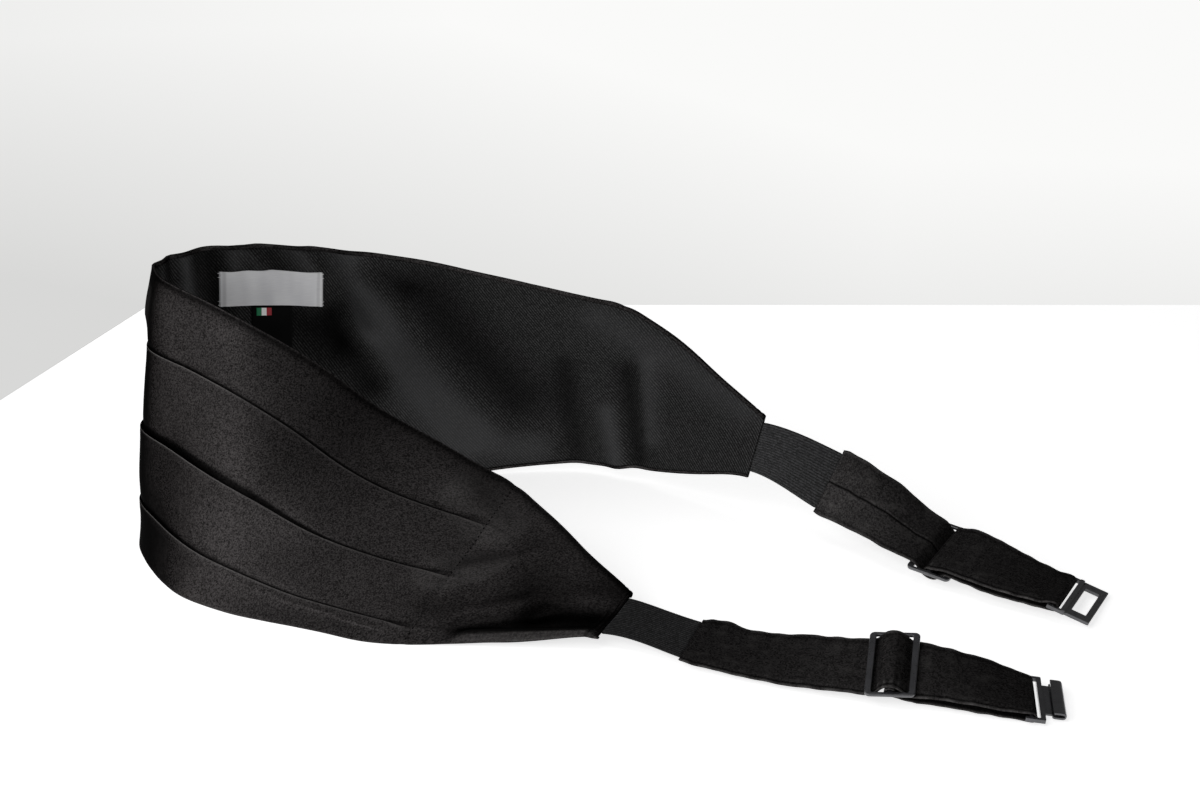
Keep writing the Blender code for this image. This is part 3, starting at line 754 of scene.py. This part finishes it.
def front_stations():
    """The lengths at which the satin's section is drawn, closest at the stitch line and at the ends."""
    close = np.concatenate([steps(0, 205, 2.4), steps(206, 232, 1.05), steps(233.5, 287.5, 2.1),
                            steps(288, HALF_LENGTH, 0.6)])
    return np.concatenate([-close[:0:-1], close])


def satin_front():
    """The pleated satin, drawn in closed sections from end to end."""
    along = front_stations()
    profiles = np.stack([front_profile(a) for a in along])
    at = np.broadcast_to(along[:, None], profiles.shape[:2])
    height, out, edges = profiles[..., 0], profiles[..., 1].copy(), profiles[..., 2]
    outside = out > SEAM_GAP
    out = out + outside * (pick_stitch_pull(at) + end_seam_pull(at))
    # The pressed bands still hold a slow unevenness
    ripple = waves(at + 0.5 * height, (88.0, 0.28, 0.4), (37.0, 0.12, 2.0))
    out = out + outside * ripple * np.sin(height / 19.0 + at / 70.0)
    # Painted light from the narrow folds, a faint painted highlight on ridges and painted shade in troughs,
    # joined to the pleats' own, and painted shade at both ends of the satin
    creases = np.clip(fold_rise(at, height, 12) / FULL_SHADE_RISE, -0.9, 0.12)
    shade = edges + (1 - np.abs(edges)) * creases - 0.7 * bell(HALF_LENGTH - np.abs(at), 0.2, 0.7)
    return ring_loft("satin_front_cloth", cloth(at, height, out), np.stack([at, height], -1), SATIN,
                     np.clip(shade, -1, 1))


# ---- lining ----------------------------------------------------------------------------------------------

def lining_face(along, height):
    """How far the lining's face stands in from the sash's middle, with its slight slack."""
    slack = waves(along - 0.4 * height, (64.0, 0.16, 1.0), (27.0, 0.07, 0.2))
    return -SEAM_GAP / 2 - LINING_WALL + slack * np.sin(math.pi * height / pattern_height(along)) * 0.8


def lining():
    """The lining, a thin wall behind the satin that follows its folds."""
    along = steps(-HALF_LENGTH + 0.4, HALF_LENGTH - 0.4, 2.0)[:, None]
    high = pattern_height(along)
    height = LINING_INSET + np.linspace(0, 1, 56)[None, :] * (high - 2 * LINING_INSET)
    at = np.broadcast_to(along, height.shape)
    face = lining_face(at, height)
    inner = cloth(at, height, face)
    outer = cloth(at, height, np.maximum(face + LINING_WALL, -SEAM_GAP / 2 - 0.25))
    # Painted light: the lining's ridges, the satin's troughs, get a painted highlight and its hollows painted
    # shade
    shade = np.clip(-fold_rise(at, height, 20) / FULL_SHADE_RISE, -1, 0.6)
    return shell("lining_cloth", outer, inner, np.stack([at, height], -1), TWILL, (shade, shade))


# ---- elastics --------------------------------------------------------------------------------------------

def elastic(name, side):
    """A flat elastic with a raised rib for each rubber cord."""
    along = side * steps(HALF_LENGTH + SEAM_GAP, ELASTIC_END - SEAM_GAP, 0.9)[:, None]
    edge = (END_HEIGHT - ELASTIC_WIDTH) / 2
    height = np.linspace(edge, END_HEIGHT - edge, ELASTIC_RIBS * 6 + 1)[None, :]
    at, height = np.broadcast_arrays(along, height)
    rib = 0.3 * np.abs(np.sin(math.pi * ELASTIC_RIBS * (height - edge) / ELASTIC_WIDTH)) ** 0.8
    out = ELASTIC_WALL / 2 - 0.2 + rib
    return shell(name, cloth(at, height, out), cloth(at, height, -out), np.stack([at, height], -1), ELASTIC)


# ---- straps ----------------------------------------------------------------------------------------------

def strap_path(strap):
    """The strap's way as (length along the sash, distance outward): through the slider, round the clasp's
    bar, back behind itself and round the slider's middle bar."""
    path = [(a, 0.0) for a in steps(ELASTIC_END, strap.slider - 16.8, 1.2)]
    run = np.array(SLIDER_RUN)
    path += [(strap.slider + a, natural_curve(run[:, 0], run[:, 1:], a)[0]) for a in steps(-16, 16, 0.8)]
    path += [(a, 0.0) for a in steps(strap.slider + 17.2, strap.clasp - 1.0, 1.2)]
    for i in range(17):
        turn = math.pi * i / 16
        path.append((strap.clasp + LOOP_RADIUS * math.sin(turn), LOOP_RADIUS * (math.cos(turn) - 1)))
    back = [(a, -strap.drop) for a in steps(strap.clasp - 6, strap.slider + 11, 1.2)]
    path += [(strap.clasp - 1.4, -2 * LOOP_RADIUS),
             (strap.clasp - 3.6, -0.4 * strap.drop - 1.2 * LOOP_RADIUS)]
    to_bar = ((8.8, -2.66), (7.0, -2.45), (5.2, -2.0), (3.7, -1.35))
    path += back + [(strap.slider + a, out) for a, out in to_bar]
    wrap = MIDDLE_BAR / 2 + SEAM_GAP + STRAP_CAD_WALL / 2
    for i in range(15):
        turn = math.radians(-75 - 255 * i / 14)
        path.append((strap.slider + wrap * math.cos(turn), SLIDER_RISE + wrap * math.sin(turn)))
    return np.array(path)


def strap_cloth(name, strap):
    """One strap: a flat tube of satin along its way, with its edges, puckers, gathers and middle seam."""
    path = strap_path(strap)
    way = np.gradient(path, axis=0)
    way /= np.linalg.norm(way, axis=1, keepdims=True)
    normal = np.stack([-way[:, 1], way[:, 0]], 1)
    gone = np.concatenate([[0.0], np.cumsum(np.linalg.norm(np.diff(path, axis=0), axis=1))])
    half_way = np.concatenate([steps(0.0, 2.0, 0.25), steps(2.8, 14.0, 0.8),
                               steps(14.4, STRAP_WIDTH / 2, 0.36)])
    across = np.concatenate([-half_way[:0:-1], half_way]) / (STRAP_WIDTH / 2)
    away = np.abs(path[:, 0] - strap.slider)
    free = smooth(12, 22, away) * smooth(0, 5, gone) * smooth(3, 10, np.abs(path[:, 0] - strap.clasp))
    # The strap fills the slider's windows, and its edges are a little uneven on its first stretch
    width = STRAP_WIDTH / 2 + 0.25 * np.clip(2 - away / 9, 0, 1)
    first = gone < strap.clasp - ELASTIC_END
    upper = width + free * first * waves(gone, (41.0, 0.55, 0.6 + strap.side), (17.0, 0.22, 1.9))
    # The hook strap's upper edge is stretched fuller just past the elastic
    upper = upper + (strap.side < 0) * 2.4 * smooth(0, 5, gone) * np.exp(-((gone - 9) / 8.5) ** 4)
    lower = width + free * first * waves(gone, (53.0, 0.35, 2.6), (19.0, 0.15, strap.side))
    half = np.where(across > 0, upper[:, None], lower[:, None])
    height = END_HEIGHT / 2 + across[None, :] * half
    # Puckers beside the sewn edges and gathers where the strap is drawn through the slider
    length, free, first, away = (part[:, None] for part in (gone, free, first, away))
    from_edge = (1 - np.abs(across)) * STRAP_WIDTH / 2
    pucker = waves(length, (9.0, 0.12, 0.3), (13.0, 0.1, 1.1)) * np.abs(across) ** 3 * free
    gather = 0.21 * bell(away, 11.5, 4.5) * np.cos(across * 13 + 1.0) * free
    swell = 0.12 * (1 - across ** 2) * free
    edge_turn = -0.22 * bell(from_edge, 1.9, 0.5 ** 0.5)
    top = STRAP_WALL / 2 + pucker + gather + swell + edge_turn
    # The inner face has the tube's seam down its middle
    from_seam = across * STRAP_WIDTH / 2 - waves(length, (29.0, 0.25, 0.0), (11.0, 0.12, 1.0))
    cut = bell(from_seam, -0.2, 0.5) * first
    seam = 0.12 * bell(from_seam, 0.9, 0.7) * first - 0.4 * cut
    bottom = STRAP_WALL / 2 + seam - pucker * 0.6 + edge_turn * 0.6
    # Painted light: a painted highlight along each edge and painted shade in the groove just inside it
    edge = 0.3 * bell(from_edge, 0.4, 0.4) - 0.5 * bell(from_edge, 1.7, 0.5)
    # Painted highlight and painted shade in stripes, standing in for small tucks at the lower edge where the
    # strap goes through the slider; no tucks are drawn
    painted_tuck_stripes = bell(across, -0.84, 0.11) * np.exp(-(away / 6.0) ** 4) * np.cos(length * 2.1 + 0.6)
    # The outer face takes painted light from its edges, the tuck stripes and the puckers' ridges; the inner
    # face takes painted shade in the seam's cut
    shade_top = edge + 0.5 * painted_tuck_stripes + pucker
    shade_bottom = edge * 0.6 - cut
    shade = [np.clip(np.broadcast_to(part, top.shape), -1, 1) for part in (shade_top, shade_bottom)]
    faces = []
    for offset, sign in ((top, 1.0), (bottom, -1.0)):
        a = path[:, :1] + normal[:, :1] * offset * sign
        o = path[:, 1:] + normal[:, 1:] * offset * sign
        faces.append(cloth(strap.side * a, height, o))
    lie = np.stack(np.broadcast_arrays(length + STRAP_LIE * strap.side, height), -1)
    return shell(name, faces[0], faces[1], lie, STRAP_SATIN, shade)


# ---- metal -----------------------------------------------------------------------------------------------

def fitting_frame(strap, along, out):
    """Where a metal fitting sits on a strap: x along it to its end, y across, z outward."""
    points = cloth(strap.side * np.array([along, along - 4, along + 4]), END_HEIGHT / 2, out)
    edge = (END_HEIGHT - STRAP_WIDTH) / 2
    edges = cloth(strap.side * along, np.array([edge, END_HEIGHT - edge]), out)
    across = Vector(edges[1] - edges[0]).normalized() * -strap.side
    run = Vector(points[2] - points[1])
    run = (run - across * run.dot(across)).normalized()
    outward = run.cross(across)
    placed = Matrix((run, across, outward)).transposed().to_4x4()
    placed.translation = Vector(points[0]) * MM
    return placed


def metal_box(name, x, y, z, corner=0.0, turns=5):
    """A metal block whose upright corners are rounded."""
    points = [(a, b, c) for a in x for b in y for c in z]
    faces = [(0, 1, 3, 2), (4, 6, 7, 5), (0, 4, 5, 1), (2, 3, 7, 6), (0, 2, 6, 4), (1, 5, 7, 3)]
    obj = mesh_object(name, points, faces, None, STEEL, smooth_faces=False)
    if corner:
        form = bmesh.new()
        form.from_mesh(obj.data)
        upright = [e for e in form.edges if abs(e.verts[0].co.z - e.verts[1].co.z) > 1e-6]
        bmesh.ops.bevel(form, geom=upright, offset=corner * MM, segments=turns, profile=0.5, affect="EDGES")
        form.to_mesh(obj.data)
        form.free()
    return obj


def combine(body, other, operation):
    """Cuts or joins another block and clears it away."""
    step = body.modifiers.new("made", "BOOLEAN")
    step.operation = operation
    step.solver = "EXACT"
    step.object = other
    keep(body)
    bpy.data.objects.remove(other)


def keep(obj):
    """The object's mesh with its modifiers worked in."""
    made = bpy.data.meshes.new_from_object(obj.evaluated_get(bpy.context.evaluated_depsgraph_get()))
    obj.modifiers.clear()
    obj.data = made


def finish_metal(obj, placed, edge=0.3):
    """Rounded, painted edges, flat faces kept flat, and the piece set in its place."""
    round_off = obj.modifiers.new("edges", "BEVEL")
    round_off.width = edge * MM
    round_off.segments = 3
    round_off.limit_method = "ANGLE"
    round_off.angle_limit = math.radians(50)
    keep(obj)
    obj.data.transform(placed)
    obj.data.polygons.foreach_set("use_smooth", [True] * len(obj.data.polygons))
    even = obj.modifiers.new("flats", "WEIGHTED_NORMAL")
    even.keep_sharp = True
    return obj


def slider(name, strap):
    """A flat frame with a middle bar, its two windows cut through."""
    half, wide = SLIDER_LENGTH / 2, SLIDER_WIDTH / 2
    body = metal_box(name, (-half, half), (-wide, wide), (-METAL / 2, METAL / 2), 2.2)
    for way in (-1, 1):
        x = sorted((way * MIDDLE_BAR / 2, way * (half - BAR_WIDTH)))
        combine(body, metal_box("window", x, (END_BAR - wide, wide - END_BAR), (-3, 3), 0.6), "DIFFERENCE")
    return finish_metal(body, fitting_frame(strap, strap.slider, SLIDER_RISE), 0.45)


def loop_bar(length):
    """The round bar that the strap's end goes round."""
    bpy.ops.mesh.primitive_cylinder_add(vertices=32, radius=LOOP_BAR_RADIUS * MM, depth=length * MM)
    obj = bpy.context.object
    obj.data.transform(Matrix.Rotation(math.pi / 2, 4, "X"))
    return obj


def clasp_body(name):
    """The strap's side of a clasp: round loop bar, two end bars and a front bar."""
    wide = SLIDER_WIDTH / 2
    body = metal_box(name, (-2.8, 5.6), (-wide, wide), (-METAL / 2, METAL / 2), 0.7)
    combine(body, metal_box("slot", (-5, 3.5), (END_BAR - wide, wide - END_BAR), (-3, 3)), "DIFFERENCE")
    combine(body, loop_bar(SLIDER_WIDTH - END_BAR), "UNION")
    return body


def clasp_frame(strap):
    """Where a clasp sits: round its bar in the strap's loop, hanging down a little."""
    hang = Matrix.Rotation(-math.radians(strap.hang), 4, "Y")
    return fitting_frame(strap, strap.clasp, -LOOP_RADIUS) @ hang


def hook_clasp():
    """The hook: a neck from the front bar to a tongue folded back over itself, its corners rounded."""
    body = clasp_body("hook_clasp_metal")
    combine(body, metal_box("neck", (5.0, 9.4), (-12.0, 12.0), (-0.4, 0.4)), "UNION")
    fold = rounded(np.array([(8.5, 0.0), (12.6, 0.0), (13.5, 0.2), (14.0, 0.7), (14.0, 1.4), (13.5, 1.95),
                             (12.6, 2.15), (8.9, 2.1)]), 1)
    way = np.gradient(fold, axis=0)
    way /= np.linalg.norm(way, axis=1, keepdims=True)
    normal = np.stack([-way[:, 1], way[:, 0]], 1) * 0.4
    ring = np.concatenate([fold + normal, (fold - normal)[::-1]])
    rings = []
    for y, drawn_in in ((-14.2, 0.9), (-13.9, 0.3), (-13.2, 0.0), (13.2, 0.0), (13.9, 0.3), (14.2, 0.9)):
        shape = ring.copy()
        shape[:, 0] = np.clip(shape[:, 0], 8.5 + drawn_in, 14.4 - drawn_in)
        rings.append(np.insert(shape, 1, y, axis=1))
    rings = np.stack(rings)
    tongue = ring_loft("tongue", rings, np.zeros(rings.shape[:2] + (2,)), STEEL)
    tongue.data.polygons.foreach_set("use_smooth", [False] * len(tongue.data.polygons))
    combine(body, tongue, "UNION")
    return finish_metal(body, clasp_frame(HOOK_STRAP), 0.16)


def eye_clasp():
    """The eye: a flat loop whose window takes the hook's tongue, with a raised bar, a groove, two studs and
    small nicks."""
    body = clasp_body("eye_clasp_metal")
    combine(body, metal_box("plate", (5.0, 17.2), (-18.0, 18.0), (-0.7, 0.7), 0.8), "UNION")
    combine(body, metal_box("window", (7.5, 14.2), (-12.5, 12.5), (-3, 3), 0.5), "DIFFERENCE")
    combine(body, metal_box("bar", (3.5, 5.6), (-18.4, 18.4), (-1.25, 0.5), 0.7), "UNION")
    combine(body, metal_box("groove", (5.7, 6.2), (-16.8, 19.0), (-3, -0.2)), "DIFFERENCE")
    for x, y in (((9.0, 11.4), (-15.6, -15.1)), ((8.8, 11.2), (15.0, 15.5)), ((13.0, 18.0), (-5.3, -4.9))):
        combine(body, metal_box("nick", x, y, (-3, -0.4)), "DIFFERENCE")
    for x, y in ((15.2, -13.6), (14.6, 13.4)):
        combine(body, metal_box("stud", (x - 0.5, x + 0.5), (y - 0.5, y + 0.5), (-0.95, -0.5), 0.35), "UNION")
    return finish_metal(body, clasp_frame(EYE_STRAP), 0.2)


# ---- labels ----------------------------------------------------------------------------------------------

def label(name, place, material, sunk=0.0, wall=LABEL_WALL, bulge=0.0, ends=0.0):
    """A label on the lining: its face is the lining's own moved inward, a little full between its sewn
    edges."""
    start, end = place.along
    upper, lower = place.below_top
    along = steps(start, end, 0.8)[:, None]
    top = pattern_height(along)
    share = np.linspace(0, 1, 40)[None, :]
    height = top - (lower + (upper - lower) * share)
    at, height = np.broadcast_arrays(along, height)
    t = (at - start) / (end - start)
    full = bulge * np.sin(math.pi * t) * np.sin(math.pi * share) * (1 + 0.6 * np.sin(t * 9.0 + share * 2))
    out = lining_face(at, height) - LABEL_GAP - sunk
    lie = np.stack([at, height], -1)
    # The ends are folded under: fuller there, with a sewn hollow just inside, and painted shade in that
    # hollow and along each end
    from_end = np.minimum(at - start, end - at)
    sewn = bell(from_end, 2.0, 0.5)
    turned = ends * (0.3 * bell(from_end, 0.6, 0.7) - 0.15 * sewn)
    shade = -ends * (0.45 * sewn + 0.5 * bell(from_end, 0.0, 0.35))
    return shell(name, cloth(at, height, out), cloth(at, height, out - wall - full - turned), lie, material,
                 (shade, shade))


# ---- sewing ----------------------------------------------------------------------------------------------

def stitches(name, runs, thick=0.32, material=None):
    """Short stitches of thread, each between two points of (along, height, out), sunk at both ends."""
    points, faces = [], []
    for start, end in runs:
        a, b = (cloth(*p) for p in (start, end))
        way = b - a
        length = np.linalg.norm(way)
        way = way / length
        side = np.cross(way, [0.31, 0.47, 0.83])
        side /= np.linalg.norm(side)
        other = np.cross(way, side)
        first = len(points)
        for share, size in ((0.0, 0.35), (0.2, 0.85), (0.5, 1.0), (0.8, 0.85), (1.0, 0.35)):
            for i in range(6):
                turn = math.tau * i / 6
                points.append(a + way * length * share
                              + (side * math.cos(turn) + other * math.sin(turn)) * thick / 2 * size)
        faces += grid_faces(5, 6, first, closed=True)
        faces.append([first + i for i in range(5, -1, -1)])
        faces.append([first + 24 + i for i in range(6)])
    return face_out(mesh_object(name, points, faces, None, material or THREAD))


def front_out(along, height):
    """How far the satin's outer side stands out at one place."""
    profile = front_profile(along)
    outer = profile[: len(profile) - BACK_STEPS - 3]
    near = outer[np.abs(outer[:, 0] - height) < 1.2]
    return float(near[:, 1].max()) if len(near) else SATIN_WALL


def pick_stitches(side):
    """The hand-sewn row that holds the pleats down before the end panel."""
    runs = []
    high = float(pattern_height(np.array(STITCH_LINE)))
    along = side * STITCH_LINE
    for height in np.arange(3.0, high - 1.5, STITCH_PITCH):
        out = front_out(along, height) - 0.12
        runs.append(((along, height - 0.5, out), (along, height + 0.5, out)))
    return stitches(f"pick_stitches_{SIDES[side]}", runs, 0.7)


def bar_stitches(strap):
    """A short row across the strap that holds the part drawn back behind it, near the slider."""
    side, runs = strap.side, []
    out = -strap.drop - STRAP_WALL / 2 - 0.02
    for height in np.arange(END_HEIGHT / 2 - 14.0, END_HEIGHT / 2 + 14.0, 1.9):
        at = strap.slider + 19.0 + 0.8 * math.sin(height * 0.5)
        runs.append(((side * at, height, out), (side * (at + 0.3), height + 1.3, out)))
    return stitches(f"bar_stitches_{SIDES[side]}", runs, 0.42)


def label_corners():
    """Small pale stitches that hold the name label's corners."""
    runs = []
    upper, lower = LABEL.below_top
    for at, way in zip(LABEL.along, (-1, 1)):
        top = float(pattern_height(np.array(at)))
        for below in (upper + 0.7, upper + 2.6, lower - 2.4, lower - 0.6):
            height = top - below
            out = float(lining_face(np.array(at), np.array(height))) - LABEL_GAP
            runs.append(((at - way * 0.5, height, out - LABEL_WALL - 0.35), (at + way * 0.7, height, out)))
    return stitches("label_corner_stitches", runs, 0.4, LABEL_SATIN)


def end_seam(side):
    """Two machine rows across the end panel, beside the elastic."""
    runs = []
    out = SEAM_GAP / 2 + SATIN_WALL - 0.2
    for inset in END_ROWS:
        along = side * (HALF_LENGTH - inset)
        for height in np.arange(1.6, END_HEIGHT - 1.6, STITCH_PITCH):
            runs.append(((along, height, out), (along, height + 1.8, out)))
    return stitches(f"end_seam_{SIDES[side]}", runs, 0.28)


# ---- everything ------------------------------------------------------------------------------------------

def settle(obj, body, slot, *nodes):
    """Sets a piece on the body that it rides on, in place of its solids. The slot that it is given is not
    used.
    """
    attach(obj, body)
    if nodes:
        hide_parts(*nodes)
    return obj


front = settle(satin_front(), "sash", "satin", "satin_front")
inside = settle(lining(), "sash", "lining_twill", "lining")

for strap in (HOOK_STRAP, EYE_STRAP):
    side, name = strap.side, SIDES[strap.side]
    band = settle(elastic(f"elastic_{name}_cloth", side), "sash", "elastic", f"elastic_{name}")
    tie = settle(strap_cloth(f"strap_{name}_cloth", strap), "sash", "strap_satin", f"strap_{name}")
    length = np.linalg.norm(np.diff(strap_path(strap), axis=0), axis=1).sum()
    settle(slider(f"slider_{name}_metal", strap), "sash", "black_metal", f"slider_{name}")
    settle(pick_stitches(side), "sash", "satin")
    settle(end_seam(side), "sash", "satin")
    settle(bar_stitches(strap), "sash", "strap_satin")

settle(hook_clasp(), "hook", "black_metal", "hook_clasp")
settle(eye_clasp(), "eye", "black_metal", "eye_clasp")

name_label = settle(label("name_label_cloth", LABEL, LABEL_SATIN, bulge=0.35, ends=1.0), "sash",
                    "label_satin", "name_label")
settle(label_corners(), "sash", "label_satin")
ribbon = settle(label("care_label_cloth", CARE_LABEL, RIBBON, bulge=0.2), "sash", "care_ribbon", "care_label")
flag = label("care_label_flag", FLAG, FLAG_INK, sunk=LABEL_WALL + INK_WALL, wall=INK_WALL)
settle(flag, "sash", "care_ribbon")


# ---- table, light and camera -----------------------------------------------------------------------------

def pale_table():
    """A plain white table top whose far and left edges show against a pale grey wall. It glows a little:
    painted light that brightens it and fills the shadows on it."""
    laminate = surface("white laminate", "#fdfdfd", 0.5, Specular_IOR_Level=0.3,
                       Emission_Strength=TABLE_GLOW, Emission_Color="#fdfdfd")[0]
    far, (right, front) = TABLE_CORNER[1], TABLE_REACH
    left = [a + b * TABLE_LEFT_LENGTH for a, b in zip(TABLE_CORNER, TABLE_LEFT_WAY)]
    points = [(x, y, TABLE_TOP) for x, y in (TABLE_CORNER, left, (right, front), (right, far))]
    mesh_object("table_top", points, [(0, 1, 2, 3)], None, laminate, False)


def soft_box(box):
    """A large soft light that is turned to its aim."""
    light = bpy.data.lights.new(box.name, "AREA")
    light.shape = "RECTANGLE"
    light.size, light.size_y = box.size
    light.energy = box.power
    obj = bpy.data.objects.new(box.name, light)
    obj.location = box.place
    obj.rotation_euler = (Vector(box.aim) - Vector(box.place)).to_track_quat("-Z", "Y").to_euler()
    bpy.context.collection.objects.link(obj)


def studio():
    """A pale wall behind the table, greyer at the left and low down, under a dim ceiling."""
    world = bpy.data.worlds.new("pale grey wall")
    world.use_nodes = True
    way = add(world, "TexCoord", give="Generated")
    part = add(world, "SeparateXYZ", Vector=way).node.outputs
    up = add(world, "MapRange", Value=part["Z"], From_Min=-0.37, From_Max=-0.25)
    right = add(world, "MapRange", Value=part["X"], From_Min=-0.2, From_Max=0.1, To_Min=-0.35, To_Max=0.35)
    paler = add(world, "Math", {"operation": "ADD", "use_clamp": True}, Value=[up, right])
    wall = add(world, "Mix", COLOURS, Factor=paler, A=WALL[0], B=WALL[1])
    high = add(world, "MapRange", Value=part["Z"], From_Max=0.6)
    ceiling = add(world, "Mix", COLOURS, Factor=high, A=HORIZON, B=CEILING)
    above = add(world, "MapRange", Value=part["Z"], From_Min=-0.06, From_Max=0.04)
    colour = add(world, "Mix", COLOURS, Factor=above, A=wall, B=ceiling)
    dress(world, world.node_tree.nodes["Background"], Color=colour)
    bpy.context.scene.world = world
    bpy.context.scene.view_settings.view_transform = "Standard"
    bpy.context.scene.view_settings.look = "None"


def photo_camera():
    """The camera, in front of the sash and looking down on it."""
    lens = bpy.data.cameras.new("photo")
    lens.sensor_width = FILM_WIDTH
    lens.lens = CAMERA_LENS
    lens.clip_start = 0.05
    lens.clip_end = 20.0
    obj = bpy.data.objects.new("photo", lens)
    obj.location = Vector(CAMERA_PLACE) * MM
    obj.rotation_euler = (math.radians(CAMERA_TILT), 0.0, 0.0)
    bpy.context.collection.objects.link(obj)
    bpy.context.scene.camera = obj


pale_table()
studio()
for box in SOFT_BOXES:
    soft_box(box)
photo_camera()
